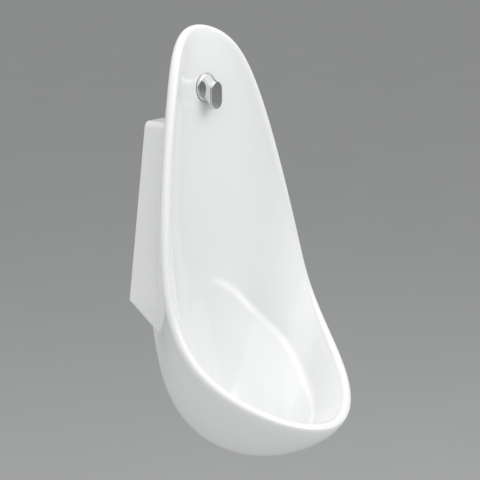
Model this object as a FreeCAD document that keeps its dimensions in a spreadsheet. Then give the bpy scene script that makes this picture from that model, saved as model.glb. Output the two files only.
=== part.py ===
import FreeCAD, Part
import Sketcher
import math
import os

# A wall-hung urinal: one glazed casting, its flush spreader, its waste outlet and its wall hangers.
# Frame: x to the right, y into the wall, z up, millimetres. The wall plane is y = 0 and the origin is the
# centre of the four hanger holes. "Reach" is a distance out from the wall, "height" is above the lip.

SIZES = {
    # glazed casting
    "lip_drop": 425,              # lip below the hanger holes
    "rim_half_width": 186.5,      # widest place of the rim
    "shield_height": 641,         # top of the shield
    "shield_reach": 41.5,         # outer edge of the shield's top
    "lip_reach": 352,             # front of the lip
    "rim_roll": 8.5,              # radius of the rolled edge
    "basin_half_width": 119,      # crease at the foot of the side walls
    "basin_top": 196,             # arch of that crease on the back wall
    "basin_low": 31,              # its front, below the lip
    "basin_back": 72,
    "basin_front": 281,
    "floor_depth": 52,            # flat ring of floor about the outlet, below the lip
    "floor_radius": 37,
    "lip_skirt": 43,              # how far the front falls straight under the lip
    "belly_pull": 415,            # how strongly the underside is drawn down
    "belly_narrow": 0.19,         # share by which it is drawn in towards the middle
    "cap_reach": 29,              # where the shield's back ends inside the box
    "cap_inset": 11,
    # hollow box that stands against the wall
    "box_reach": 69,
    "box_top": 480,
    "box_low": 172,
    "box_top_half": 77.5,
    "box_low_half": 123,
    "box_slope": 0.68,            # fall of its underside for each millimetre outward
    "box_corner": 12,
    "box_low_corner": 5,
    "box_wall": 14,
    "box_hollow": 48,
    "hollow_corner": 6,
    # flush spreader
    "spreader_height": 536,
    "spreader_seat": 68,          # reach of its flat seat on the shield
    "spreader_wall": 18,          # shield thickness between its two seats
    "seat_margin": 1,
    "gasket_thick": 1.5,
    "gasket_radius": 21,
    "flange_radius": 24.5,
    "flange_thick": 5,
    "flange_round": 3.5,
    "shank_radius": 10.48,        # G 1/2 thread
    "shank_bore": 6.5,
    "shank_end": 12,              # reach of the thread's end
    "hood_width": 27.5,
    "hood_height": 47.5,
    "hood_length": 17,
    "hood_slope": 0.7,            # fall for each millimetre outward
    "hood_wall": 3,
    "seal_thick": 0.8,
    "seal_inset": 0.6,
    "face_thick": 4,
    "face_round": 1.8,
    "face_spigot": 3,
    "spray_width": 12,
    "spray_length": 8,
    "spray_depth": 7,
    "spray_jet": 1.2,
    "spray_pitch": 3.6,
    "inlet_hole": 14,
    "bush_radius": 20,
    "bush_thick": 3,
    "bush_spigot": 12,
    "washer_radius": 19,
    "washer_thick": 2,
    "lock_nut_flats": 30,
    "lock_nut_height": 8,
    # waste outlet
    "waste_reach": 192,
    "waste_hole": 23,
    "waste_recess": 5,
    "waste_wall": 10,             # floor thickness between the two waste seats
    "waste_flange": 33,
    "waste_flange_thick": 3,
    "waste_tube": 20.95,          # G 1 1/4 thread
    "waste_bore": 16.5,
    "waste_tail": 22,             # thread below the lower seat
    "waste_gasket_thick": 2,
    "waste_cone_thick": 3,
    "waste_cone_radius": 31,
    "slip_washer_thick": 1.5,
    "waste_nut_flats": 54,
    "waste_nut_height": 6.5,
    "waste_pocket": 37,           # room under the bowl for the nut
    "grate_radius": 28.5,
    "grate_thick": 2,
    "grate_rise": 4,
    "grate_sink": 1.5,
    "grate_skirt": 14,
    "grate_skirt_wall": 1.5,
    "grate_lift_hole": 4,
    "grate_hole": 2.6,
    "grate_ring": 10.5,
    # wall hangers
    "hanger_spacing": 76,
    "hanger_hole_spacing": 40,
    "hanger_hole": 4.25,
    "hanger_width": 30,
    "hanger_plate": 4,
    "hanger_margin": 16,          # plate below its lower hole
    "hanger_arm": 26,
    "hanger_tongue": 6,
    "hanger_pad": 2,
    # fits
    "thread_relief": 1.5,         # groove between a nut's thread and the free thread for a union
    "relief_depth": 0.8,
    "thread_gap": 0.05,
    "slip_gap": 0.3,
    "hook_gap": 1,
}

# Shape of the rim from the top of the shield to the lip: shares of the half width, of the way from the
# shield's top out to the lip, and of the height.
RIM = [
    (0.000, 0.000, 1.000),
    (0.387, 0.065, 0.956),
    (0.631, 0.147, 0.820),
    (0.820, 0.209, 0.625),
    (0.950, 0.269, 0.435),
    (1.000, 0.356, 0.274),
    (0.935, 0.549, 0.145),
    (0.596, 0.839, 0.046),
    (0.000, 1.000, 0.000),
]

# Shape of the crease where the side walls meet the floor, from its arch on the back wall to the front:
# shares of the basin's half width, depth and height.
FOOT = [
    (0.000, 0.000, 1.000),
    (0.282, 0.009, 0.949),
    (0.565, 0.037, 0.826),
    (0.790, 0.106, 0.691),
    (0.944, 0.275, 0.542),
    (1.000, 0.459, 0.356),
    (0.911, 0.656, 0.153),
    (0.516, 0.894, 0.030),
    (0.000, 1.000, 0.000),
]

# Shape of the shield's back inside the box: shares of the box's half width there and of its height.
CAP = [
    (0.00, 1.00),
    (0.55, 1.00),
    (0.95, 0.92),
    (1.00, 0.72),
    (1.00, 0.50),
    (1.00, 0.30),
    (0.94, 0.10),
    (0.50, 0.00),
    (0.00, 0.00),
]

LIP_STATION = len(RIM) - 1        # station 0 is the top of the shield
BELLY_START = 2.4                 # station where the outside begins to swell into the bowl
CREASE_START = 3.5                # station where the crease has its full angle
WALL_BEND = 1.5                   # power by which the shield's inner wall turns in towards its foot
BOWL_BEND = 1.05                  # the same for the bowl's side walls, which are nearly straight
BOWL_START = 5.5                  # station where the bowl's side walls have their full form
SHIELD_BEND = 5                   # how much sooner the shield's wall turns back, added at its top
FLOOR_BEND = 1.4                  # power by which the floor levels out towards the outlet
RING_POINTS = 48                  # points on each closed ring of the casting
LEAD = 6                          # mirrored points that lead a curve squarely over the middle plane
OUTER_STEPS = (1.0, 0.95, 0.88, 0.8, 0.7, 0.57, 0.42, 0.27, 0.12)
ROLL_STEPS = (0, 0.25, 0.5, 0.75, 1.0)
WALL_STEPS = (0.05, 0.14, 0.28, 0.46, 0.66, 0.82, 0.93)
CREASE_STEPS = (0.25, 0.5, 0.75)  # the crease is rounded between the last wall ring and the first floor ring
FLOOR_STEPS = (0.13, 0.24, 0.4, 0.58, 0.78, 1.0)
GRATE_HOLES = 8
SPRAY_JETS = 3
SLACK = 1.0                       # how far a cutting tool stands clear of what it cuts

doc = FreeCAD.newDocument("urinal")
sheet = doc.addObject("Spreadsheet::Sheet", "sizes")
for row, (alias, number) in enumerate(SIZES.items(), start=1):
    sheet.set(f"A{row}", alias)
    sheet.set(f"B{row}", str(number))
    sheet.setAlias(f"B{row}", alias)
doc.recompute()

# Heights and reaches that several pieces share.
LIP = "-sizes.lip_drop"
SPREADER_AXIS = f"({LIP} + sizes.spreader_height)"
SPREADER_BACK = "(sizes.spreader_seat - sizes.spreader_wall)"
GASKET_FRONT = "(sizes.spreader_seat + sizes.gasket_thick)"
FLANGE_FRONT = f"({GASKET_FRONT} + sizes.flange_thick)"
HOOD_FRONT = f"({FLANGE_FRONT} + sizes.hood_length)"
HOOD_FALL = "(sizes.hood_slope * sizes.hood_length)"
CHAMBER_WIDTH = "(sizes.hood_width - 2 * sizes.hood_wall)"
CHAMBER_HEIGHT = f"(sizes.hood_height - 2 * sizes.hood_wall - {HOOD_FALL})"
CHAMBER_FALL = f"({HOOD_FALL} / 2)"
BUSH_BACK = f"({SPREADER_BACK} - sizes.bush_thick)"
WASHER_BACK = f"({BUSH_BACK} - sizes.washer_thick)"
LOCK_NUT_BACK = f"({WASHER_BACK} - sizes.lock_nut_height)"
RELIEF_BACK = f"({LOCK_NUT_BACK} - sizes.thread_relief)"
FLOOR = f"({LIP} - sizes.floor_depth)"
WASTE_SEAT = f"({FLOOR} - sizes.waste_recess)"
WASTE_UNDER = f"({WASTE_SEAT} - sizes.waste_wall)"
BELOW_CONE = f"({WASTE_UNDER} - sizes.waste_cone_thick)"
BELOW_SLIP = f"({BELOW_CONE} - sizes.slip_washer_thick)"
BELOW_NUT = f"({BELOW_SLIP} - sizes.waste_nut_height)"
WASTE_TOP = "(sizes.waste_tail + sizes.waste_wall + sizes.waste_gasket_thick + sizes.waste_flange_thick)"
LEDGE = f"({LIP} + sizes.box_top - sizes.box_wall)"
ARM_TOP = f"({LEDGE} - sizes.hanger_pad)"

UPWARD = FreeCAD.Rotation()
OUTWARD = FreeCAD.Rotation(FreeCAD.Vector(1, 0, 0), 90)       # local z points out of the wall
TURNED = FreeCAD.Rotation(FreeCAD.Vector(0, 0, 1), 180)       # local y points out of the wall


def size(alias):
    """Present number of a driving dimension."""
    return float(sheet.get(alias))


def value(formula):
    """Present number of a formula on the sheet."""
    return float(sheet.evalExpression(formula))


def bind(thing, **formulas):
    """Tie properties of a document object to formulas."""
    for name, formula in formulas.items():
        thing.setExpression(name, formula)


def place(thing, x="0", reach="0", level="0", turn=UPWARD):
    """Place an object by formulas: x, reach out of the wall and level."""
    thing.Placement = FreeCAD.Placement(FreeCAD.Vector(), turn)
    thing.setExpression(".Placement.Base.x", x)
    thing.setExpression(".Placement.Base.y", f"-({reach})")
    thing.setExpression(".Placement.Base.z", level)


def cylinder(name, radius, height, **where):
    """A round bar."""
    bar = doc.addObject("Part::Cylinder", name)
    bind(bar, Radius=radius, Height=height)
    place(bar, **where)
    return bar


def block(name, width, length, height, **where):
    """A square bar that stands on its lowest corner."""
    bar = doc.addObject("Part::Box", name)
    bind(bar, Length=width, Width=length, Height=height)
    place(bar, **where)
    return bar


def cut(name, base, tool):
    """Base less tool."""
    result = doc.addObject("Part::Cut", name)
    result.Base = base
    result.Tool = tool
    return result


def fuse(name, pieces):
    """Several shapes joined to one."""
    result = doc.addObject("Part::MultiFuse", name)
    result.Shapes = pieces
    return result


def washer(label, outer, inner, height, **where):
    """A flat washer or gasket."""
    rim = cylinder(label + "_rim", outer, height, **where)
    hole = cylinder(label + "_hole", inner, height, **where)
    return cut(label, rim, hole)


def hex_nut(label, flats, bore, height, **where):
    """A six-sided nut, by its size across the flats."""
    prism = doc.addObject("Part::Prism", label + "_block")
    prism.Polygon = 6
    bind(prism, Circumradius=f"{flats} / 2 / cos(30)", Height=height)
    place(prism, **where)
    hole = cylinder(label + "_bore", bore, height, **where)
    return cut(label, prism, hole)


def sketch_on(owner, plane, name, offset="0"):
    """A sketch on one of the body's own planes, moved along the plane's normal."""
    drawing = owner.newObject("Sketcher::SketchObject", name)
    home = [feature for feature in owner.Origin.OriginFeatures if feature.Role == plane][0]
    drawing.AttachmentSupport = [(home, "")]
    drawing.MapMode = "FlatFace"
    drawing.setExpression(".AttachmentOffset.Base.z", offset)
    return drawing


def hold_point(drawing, edge, end, across, up):
    """Hold a point of an edge at formulas across and up from the sketch's origin."""
    for kind, formula, axis in (("DistanceX", across, -2), ("DistanceY", up, -1)):
        if formula == "0":
            drawing.addConstraint(Sketcher.Constraint("PointOnObject", edge, end, axis))
        else:
            index = drawing.addConstraint(Sketcher.Constraint(kind, -1, 1, edge, end, value(formula)))
            drawing.setExpression(f"Constraints[{index}]", formula)


def draw_circle(drawing, radius, across="0", up="0"):
    """A circle of the sketch."""
    centre = FreeCAD.Vector(value(across), value(up), 0)
    edge = drawing.addGeometry(Part.Circle(centre, FreeCAD.Vector(0, 0, 1), value(radius)))
    hold_point(drawing, edge, 3, across, up)
    index = drawing.addConstraint(Sketcher.Constraint("Radius", edge, value(radius)))
    drawing.setExpression(f"Constraints[{index}]", radius)


def draw_polygon(drawing, corners):
    """A closed run of straight lines through corners given as formulas."""
    points = [FreeCAD.Vector(value(across), value(up), 0) for across, up in corners]
    lines = []
    for start, end in zip(points, points[1:] + points[:1]):
        lines.append(drawing.addGeometry(Part.LineSegment(start, end)))
    for line, after in zip(lines, lines[1:] + lines[:1]):
        drawing.addConstraint(Sketcher.Constraint("Coincident", line, 2, after, 1))
    for line, (across, up) in zip(lines, corners):
        hold_point(drawing, line, 1, across, up)


def draw_oblong(drawing, width, height, middle="0"):
    """An upright oblong with round ends, its middle at a formula's height."""
    radius = value(width) / 2
    straight = value(height) / 2 - radius
    level = value(middle)
    turn = FreeCAD.Vector(0, 0, 1)
    ends = []
    for side, first, last in ((1, 0, math.pi), (-1, math.pi, 2 * math.pi)):
        centre = FreeCAD.Vector(0, level + side * straight, 0)
        arc = Part.ArcOfCircle(Part.Circle(centre, turn, radius), first, last)
        ends.append(drawing.addGeometry(arc))
        sign = "+" if side > 0 else "-"
        hold_point(drawing, ends[-1], 3, "0", f"{middle} {sign} (({height}) - ({width})) / 2")
        index = drawing.addConstraint(Sketcher.Constraint("Radius", ends[-1], radius))
        drawing.setExpression(f"Constraints[{index}]", f"({width}) / 2")
    for side, top_end, low_end in ((1, 1, 2), (-1, 2, 1)):
        low = FreeCAD.Vector(side * radius, level - straight, 0)
        high = FreeCAD.Vector(side * radius, level + straight, 0)
        line = drawing.addGeometry(Part.LineSegment(low, high))
        drawing.addConstraint(Sketcher.Constraint("Tangent", ends[0], top_end, line, 2))
        drawing.addConstraint(Sketcher.Constraint("Tangent", ends[1], low_end, line, 1))


def pad(owner, drawing, length, reverse=False, both_ways=False):
    """Thicken a sketch."""
    feature = owner.newObject("PartDesign::Pad", drawing.Name + "_pad")
    feature.Profile = drawing
    feature.setExpression("Length", length)
    feature.Reversed = reverse
    feature.Midplane = both_ways
    return feature


def pocket(owner, drawing, length):
    """Cut a sketch into its body."""
    feature = owner.newObject("PartDesign::Pocket", drawing.Name + "_pocket")
    feature.Profile = drawing
    feature.setExpression("Length", length)
    return feature


def revolve(owner, drawing):
    """Turn a sketch about its own upright axis."""
    feature = owner.newObject("PartDesign::Revolution", drawing.Name + "_turn")
    feature.Profile = drawing
    feature.ReferenceAxis = (drawing, ["V_Axis"])
    feature.Angle = 360
    return feature


def round_edges(owner, base, edges, radius):
    """Round some edges of a feature."""
    feature = owner.newObject("PartDesign::Fillet", base.Name + "_round")
    feature.Base = (base, edges)
    feature.setExpression("Radius", radius)
    return feature


def highest_edges(feature):
    """Names of the edges that lie wholly at the top of a feature's own z."""
    top = feature.Shape.BoundBox.ZMax
    named = enumerate(feature.Shape.Edges, start=1)
    return [f"Edge{index}" for index, edge in named if edge.BoundBox.ZMin > top - 1e-4]


# Glazed casting

def clamp(number):
    """Number kept between 0 and 1."""
    return max(0.0, min(1.0, number))


def flipped(points):
    """The same points on the left."""
    return [FreeCAD.Vector(-point.x, point.y, point.z) for point in points]


def half_curve(stations):
    """Smooth curve through points on the right, square to the middle plane at both ends."""
    last = len(stations) - 1
    before = flipped(stations[LEAD:0:-1])
    after = flipped(stations[-2:-2 - LEAD:-1])
    curve = Part.BSplineCurve()
    curve.interpolate(
        Points=before + stations + after,
        Parameters=[float(index) for index in range(-LEAD, last + LEAD + 1)],
    )
    curve.segment(0, last)
    return curve


def closed_points(stations):
    """Evenly numbered points on the smooth closed curve through stations on the right and their mirror."""
    curve = half_curve(stations)
    half = RING_POINTS // 2
    right = [curve.value(index * (len(stations) - 1) / half) for index in range(half + 1)]
    return right + flipped(right[-2:0:-1])


def station_of(index):
    """Place of a ring's point between the shield's top, 0, and the lip."""
    turn = index * 2 * LIP_STATION / RING_POINTS
    return min(turn, 2 * LIP_STATION - turn)


def at(across, reach, height):
    """Point from half-width, reach and height above the lip."""
    return FreeCAD.Vector(across, -reach, height - size("lip_drop"))


def rim_points():
    """Outer edge of the rim."""
    depth = size("lip_reach") - size("shield_reach")
    return closed_points([
        at(across * size("rim_half_width"), size("shield_reach") + out * depth, up * size("shield_height"))
        for across, out, up in RIM
    ])


def foot_points():
    """Crease at the foot of the side walls."""
    depth = size("basin_front") - size("basin_back")
    rise = size("basin_top") + size("basin_low")
    return closed_points([
        at(across * size("basin_half_width"), size("basin_back") + out * depth, up * rise - size("basin_low"))
        for across, out, up in FOOT
    ])


def box_half_width(height):
    """Half width of the box at a height above the lip: it tapers above its foot on the wall."""
    share = (size("box_top") - height) / (size("box_top") - size("box_low"))
    return size("box_top_half") + min(1, share) * (size("box_low_half") - size("box_top_half"))


def cap_points():
    """Edge of the shield's back, inside the box."""
    inset = size("cap_inset")
    low = size("box_low") - size("box_slope") * size("cap_reach") + inset
    high = size("box_top") - inset
    stations = []
    for across, up in CAP:
        height = low + up * (high - low)
        stations.append(at(across * (box_half_width(height) - inset), size("cap_reach"), height))
    return closed_points(stations)


def drain_points():
    """Flat ring of floor about the outlet."""
    points = []
    for index in range(RING_POINTS):
        angle = 2 * math.pi * index / RING_POINTS
        across = size("floor_radius") * math.sin(angle)
        reach = size("waste_reach") - size("floor_radius") * math.cos(angle)
        points.append(at(across, reach, -size("floor_depth")))
    return points


def belly_share(station):
    """How much the outside follows the bowl, 1, and not the straight flank of the shield, 0."""
    lower = clamp((station - BELLY_START) / (LIP_STATION - BELLY_START))
    return 0.5 - 0.5 * math.cos(math.pi * lower)


def outer_handles(rim, cap, station):
    """The two inner control points of the outside, from the rim to the cap."""
    belly = belly_share(station)
    third = (cap - rim) * ((1 - belly) / 3)
    down = FreeCAD.Vector(0, 0, -belly)
    under = cap - third + down * size("belly_pull")
    under.x *= 1 - belly * size("belly_narrow")
    return rim + third + down * size("lip_skirt"), under


def bezier(points, share):
    """Point of a cubic curve from its four control points."""
    first, second, third, fourth = points
    rest = 1 - share
    return (first * rest ** 3 + second * (3 * rest ** 2 * share)
            + third * (3 * rest * share ** 2) + fourth * share ** 3)


def rim_frame(rim, cap, index):
    """Directions at a rim point: back along the outside, and across the wall to its inner side."""
    handle = outer_handles(rim[index], cap[index], station_of(index))[0]
    back = (handle - rim[index]).normalize()
    along = rim[(index + 1) % RING_POINTS] - rim[index - 1]
    across = back.cross(along).normalize()
    return back, across


def wall_bend(station):
    """Power by which the inner wall turns in: it eases from the shield to the straighter bowl."""
    bowl = 0.5 - 0.5 * math.cos(math.pi * clamp(station / BOWL_START))
    return WALL_BEND + (BOWL_BEND - WALL_BEND) * bowl


def back_bend(station):
    """Power by which the inner wall turns back: the shield's top turns soonest."""
    return wall_bend(station) + SHIELD_BEND * (1 - station / LIP_STATION) ** 2


def roll_end(edge, foot, frame, station):
    """Angle by which the edge is rolled where it meets the inner wall's first direction."""
    back, across = frame
    drop = foot - edge - across * size("rim_roll")
    first = FreeCAD.Vector(drop.x * wall_bend(station), drop.y * back_bend(station), drop.z)
    return math.atan2(first.dot(across), -first.dot(back))


def roll_point(edge, frame, angle):
    """Point of the rolled edge, from the outside, angle 0, over its front."""
    back, across = frame
    spoke = across * math.cos(angle) + back * math.sin(angle)
    return edge + (across - spoke) * size("rim_roll")


def wall_point(start, foot, station, share):
    """Point of the inner wall, from the rolled edge to the crease at its foot."""
    quick = 1 - (1 - share) ** back_bend(station)
    inward = 1 - (1 - share) ** wall_bend(station)
    return FreeCAD.Vector(
        start.x + (foot.x - start.x) * inward,
        start.y + (foot.y - start.y) * quick,
        start.z + (foot.z - start.z) * share,
    )


def floor_point(foot, drain, station, share):
    """Point of the floor: it leaves the back wall smoothly, and the side walls at an angle."""
    smooth = 0.5 + 0.5 * math.cos(math.pi * clamp(station / CREASE_START))
    round_over = 1 - math.cos(share * math.pi / 2)
    round_down = math.sin(share * math.pi / 2)
    over = smooth * round_over + (1 - smooth) * share
    down = smooth * round_down + (1 - smooth) * (1 - (1 - share) ** FLOOR_BEND)
    return FreeCAD.Vector(
        foot.x + (drain.x - foot.x) * over,
        foot.y + (drain.y - foot.y) * over,
        foot.z + (drain.z - foot.z) * down,
    )


def crease_point(before, foot, after, share):
    """Point of the rounded crease between a wall point and a floor point."""
    rest = 1 - share
    return before * rest ** 2 + foot * (2 * rest * share) + after * share ** 2


def shell_rings():
    """Closed rings over the casting's skin: back cap, outside, rolled rim, inner wall, floor, outlet."""
    rim, cap, foot, drain = rim_points(), cap_points(), foot_points(), drain_points()
    everywhere = range(RING_POINTS)
    frames = [rim_frame(rim, cap, i) for i in everywhere]
    outer_edge = [rim[i] + frames[i][0] * size("rim_roll") for i in everywhere]
    ends = [roll_end(outer_edge[i], foot[i], frames[i], station_of(i)) for i in everywhere]
    inner_edge = [roll_point(outer_edge[i], frames[i], ends[i]) for i in everywhere]
    rings = []
    for share in OUTER_STEPS:
        ring = []
        for i in everywhere:
            second, third = outer_handles(rim[i], cap[i], station_of(i))
            ring.append(bezier((outer_edge[i], second, third, cap[i]), share))
        rings.append(ring)
    for share in ROLL_STEPS:
        rings.append([roll_point(outer_edge[i], frames[i], share * ends[i]) for i in everywhere])
    for share in WALL_STEPS:
        rings.append([wall_point(inner_edge[i], foot[i], station_of(i), share) for i in everywhere])
    wall_foot = rings[-1]
    floor = []
    for share in FLOOR_STEPS:
        floor.append([floor_point(foot[i], drain[i], station_of(i), share) for i in everywhere])
    for share in CREASE_STEPS:
        rings.append([crease_point(wall_foot[i], foot[i], floor[0][i], share) for i in everywhere])
    return rings + floor


def half_ring(points):
    """Right half of the smooth closed curve through a ring's points."""
    return half_curve(points[:RING_POINTS // 2 + 1])


def ring_steps(rings):
    """Parameter of each ring, by its mean distance from the one before."""
    steps = [0.0]
    for before, after in zip(rings, rings[1:]):
        mean = sum(first.distanceToPoint(second) for first, second in zip(before, after)) / RING_POINTS
        steps.append(steps[-1] + math.sqrt(mean))
    return steps


def skin_face(rings):
    """Right half of the skin: one smooth surface through the right halves of all rings."""
    halves = [half_ring(ring) for ring in rings]
    steps = ring_steps(rings)
    columns = []
    for column in zip(*[half.getPoles() for half in halves]):
        curve = Part.BSplineCurve()
        curve.interpolate(Points=list(column), Parameters=steps)
        columns.append(curve)
    along, around = columns[0], halves[0]
    surface = Part.BSplineSurface()
    surface.buildFromPolesMultsKnots(
        [column.getPoles() for column in columns],
        around.getMultiplicities(), along.getMultiplicities(),
        around.getKnots(), along.getKnots(),
        False, False, around.Degree, along.Degree,
    )
    return surface.toShape()


def mirrored(shape):
    """The same shape on the left."""
    return shape.mirror(FreeCAD.Vector(), FreeCAD.Vector(1, 0, 0))


def shield_and_bowl():
    """Solid inside the rings: two mirrored skins and two flat ends."""
    rings = shell_rings()
    right = skin_face(rings)
    faces = [right, mirrored(right)]
    for ring in (rings[0], rings[-1]):
        edge = half_ring(ring).toShape()
        faces.append(Part.Face(Part.Wire([edge, mirrored(edge)])))
    shell = Part.makeShell(faces)
    shell.sewShape()
    return Part.makeSolid(shell)


def top_edges(solid):
    """The two level edges along the box's top."""
    top = solid.BoundBox.ZMax - SLACK
    return [edge for edge in solid.Edges if edge.BoundBox.ZMin > top and edge.BoundBox.YLength > SLACK]


def sloping_edges(solid):
    """The two edges along the box's sloping underside."""
    found = []
    for edge in solid.Edges:
        if edge.BoundBox.ZLength > SLACK and edge.BoundBox.YLength > SLACK and edge.BoundBox.XLength < SLACK:
            found.append(edge)
    return found


def box_prism(inset, reach, top_corner, low_corner):
    """The box against the wall, or its hollow: a tapered prism with a sloping underside."""
    slope = size("box_slope")
    top = size("box_top") - inset
    low_wall = size("box_low") + inset * math.hypot(1, slope)
    low_front = low_wall - slope * reach
    foot = low_front - SLACK
    right = [(box_half_width(height) - inset, height) for height in (top, size("box_low"), foot)]
    left = [(-across, height) for across, height in reversed(right)]
    outline = [at(across, 0, height) for across, height in right + left]
    prism = Part.Face(Part.makePolygon(outline + outline[:1])).extrude(FreeCAD.Vector(0, -reach, 0))
    side = 2 * box_half_width(foot)
    corners = [
        at(-side, -SLACK, low_wall + slope * SLACK),
        at(-side, reach + SLACK, low_front - slope * SLACK),
        at(-side, reach + SLACK, low_front - side),
        at(-side, -SLACK, low_front - side),
    ]
    wedge = Part.Face(Part.makePolygon(corners + corners[:1])).extrude(FreeCAD.Vector(2 * side, 0, 0))
    solid = prism.cut(wedge)
    solid = solid.makeFillet(top_corner, top_edges(solid))
    return solid.makeFillet(low_corner, sloping_edges(solid))


def casting():
    """Shield, bowl and hollow box as one piece, before its seats and holes."""
    box = box_prism(0, size("box_reach"), size("box_corner"), size("box_low_corner"))
    corner = size("hollow_corner")
    hollow = box_prism(size("box_wall"), size("box_hollow"), corner, corner)
    feature = doc.addObject("Part::Feature", "casting")
    feature.Shape = shield_and_bowl().fuse(box).cut(hollow)
    return feature


def spreader_seats():
    """Flat pads on both sides of the shield for the spreader, and what is cut to make and bore them."""
    there = {"level": SPREADER_AXIS, "turn": OUTWARD}
    front = "sizes.flange_radius + sizes.seat_margin"
    back = "sizes.bush_radius + sizes.seat_margin"
    half = "sizes.spreader_wall / 2"
    pads = [
        cylinder("front_pad", front, half, reach=f"{SPREADER_BACK} + {half}", **there),
        cylinder("back_pad", back, half, reach=SPREADER_BACK, **there),
    ]
    tools = [
        cylinder("front_face", front, "sizes.flange_thick", reach="sizes.spreader_seat", **there),
        cylinder("back_face", back, SPREADER_BACK, **there),
        cylinder("inlet_bore", "sizes.inlet_hole", "sizes.spreader_seat", **there),
    ]
    return pads, tools


def waste_seats():
    """Flat floor pad for the waste, and what is cut to make and bore it."""
    there = {"reach": "sizes.waste_reach"}
    recess = "sizes.waste_flange + sizes.slip_gap"
    recess_height = "sizes.floor_depth + sizes.waste_recess"
    pocket_height = "2 * sizes.floor_depth"
    pocket_foot = f"{WASTE_UNDER} - {pocket_height}"
    pads = [cylinder("waste_pad", "sizes.waste_pocket", "sizes.waste_wall", level=WASTE_UNDER, **there)]
    tools = [
        cylinder("waste_recess_cut", recess, recess_height, level=WASTE_SEAT, **there),
        cylinder("waste_bore_cut", "sizes.waste_hole", "sizes.floor_depth", level=WASTE_UNDER, **there),
        cylinder("waste_pocket_cut", "sizes.waste_pocket", pocket_height, level=pocket_foot, **there),
    ]
    return pads, tools


def hook_slots():
    """Room under the box's top for each hanger's arm and pad, and a blind slot there for its tongue."""
    width = "sizes.hanger_width + 2 * sizes.hook_gap"
    front = "sizes.hanger_arm + sizes.hook_gap"
    arm_height = "sizes.hanger_plate + sizes.hanger_pad"
    tongue_length = "sizes.hanger_plate + 2 * sizes.hook_gap"
    tongue_height = "sizes.hanger_tongue - sizes.hanger_pad + sizes.hook_gap"
    slots = []
    for side, name in ((-1, "left"), (1, "right")):
        edge = f"{side} * sizes.hanger_spacing / 2 - sizes.hanger_width / 2 - sizes.hook_gap"
        there = {"x": edge, "reach": front}
        slots.append(block(f"hook_slot_{name}", width, tongue_length, tongue_height, level=LEDGE, **there))
        slots.append(block(
            f"hook_room_{name}", width, front, arm_height, level=f"{LEDGE} - ({arm_height})", **there
        ))
    return slots


def make_ceramic_body():
    """The glazed casting with its seats and holes."""
    inlet_pads, inlet_tools = spreader_seats()
    outlet_pads, outlet_tools = waste_seats()
    padded = fuse("padded_casting", [casting()] + inlet_pads + outlet_pads)
    tools = fuse("casting_tools", inlet_tools + outlet_tools + hook_slots())
    return cut("ceramic_body", padded, tools)


# Flush spreader, on an axis out of the wall

def spreader_piece(label):
    """A body whose local z is the reach on the spreader's axis."""
    piece = doc.addObject("PartDesign::Body", label)
    place(piece, level=SPREADER_AXIS, turn=OUTWARD)
    return piece


def make_spreader_flange():
    """Round plate with a rolled edge."""
    piece = spreader_piece("spreader_flange")
    plate = sketch_on(piece, "XY_Plane", "flange_plate", GASKET_FRONT)
    draw_circle(plate, "sizes.flange_radius")
    disc = pad(piece, plate, "sizes.flange_thick")
    doc.recompute()
    round_edges(piece, disc, highest_edges(disc), "sizes.flange_round")
    doc.recompute()
    hole = sketch_on(piece, "XY_Plane", "flange_hole", FLANGE_FRONT)
    draw_circle(hole, "sizes.shank_radius + sizes.slip_gap")
    pocket(piece, hole, "sizes.flange_thick")
    return piece


def draw_slot(drawing, gap):
    """Outline of the spray opening under the hood, or of what fits it with a gap."""
    across = f"(sizes.spray_width / 2 - {gap})"
    near = f"({HOOD_FRONT} - sizes.hood_wall - sizes.spray_length + {gap})"
    far = f"({HOOD_FRONT} - sizes.hood_wall - {gap})"
    draw_polygon(drawing, [(f"-{across}", near), (across, near), (across, far), (f"-{across}", far)])


def make_spreader_body():
    """Threaded shank and sloping oblong hood with a water chamber."""
    piece = spreader_piece("spreader_body")
    for name, radius, start, end in (
        ("free_thread", "sizes.shank_radius", "sizes.shank_end", RELIEF_BACK),
        ("shank_relief", "sizes.shank_radius - sizes.relief_depth", RELIEF_BACK, LOCK_NUT_BACK),
        ("nut_thread", "sizes.shank_radius", LOCK_NUT_BACK, FLANGE_FRONT),
    ):
        shank = sketch_on(piece, "XY_Plane", name, start)
        draw_circle(shank, radius)
        pad(piece, shank, f"{end} - {start}")
    oblong = sketch_on(piece, "XY_Plane", "hood_oblong", FLANGE_FRONT)
    draw_oblong(oblong, "sizes.hood_width", "sizes.hood_height")
    hood = pad(piece, oblong, "sizes.hood_length")
    hood.UseCustomVector = True
    hood.AlongSketchNormal = True
    hood.setExpression(".Direction.x", "0")
    hood.setExpression(".Direction.y", "-sizes.hood_slope")
    hood.setExpression(".Direction.z", "1")
    doc.recompute()
    chamber = sketch_on(piece, "XY_Plane", "hood_chamber", HOOD_FRONT)
    draw_oblong(chamber, CHAMBER_WIDTH, CHAMBER_HEIGHT, f"-{CHAMBER_FALL}")
    pocket(piece, chamber, "sizes.hood_length - sizes.hood_wall")
    bore = sketch_on(piece, "XY_Plane", "shank_waterway", f"{FLANGE_FRONT} + sizes.hood_wall")
    draw_circle(bore, "sizes.shank_bore")
    pocket(piece, bore, f"{FLANGE_FRONT} + sizes.hood_wall - sizes.shank_end")
    slot = sketch_on(piece, "XZ_Plane", "spray_slot", f"{HOOD_FALL} + sizes.hood_height / 2")
    draw_slot(slot, "0")
    pocket(piece, slot, "sizes.hood_height / 2")
    return piece


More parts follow.
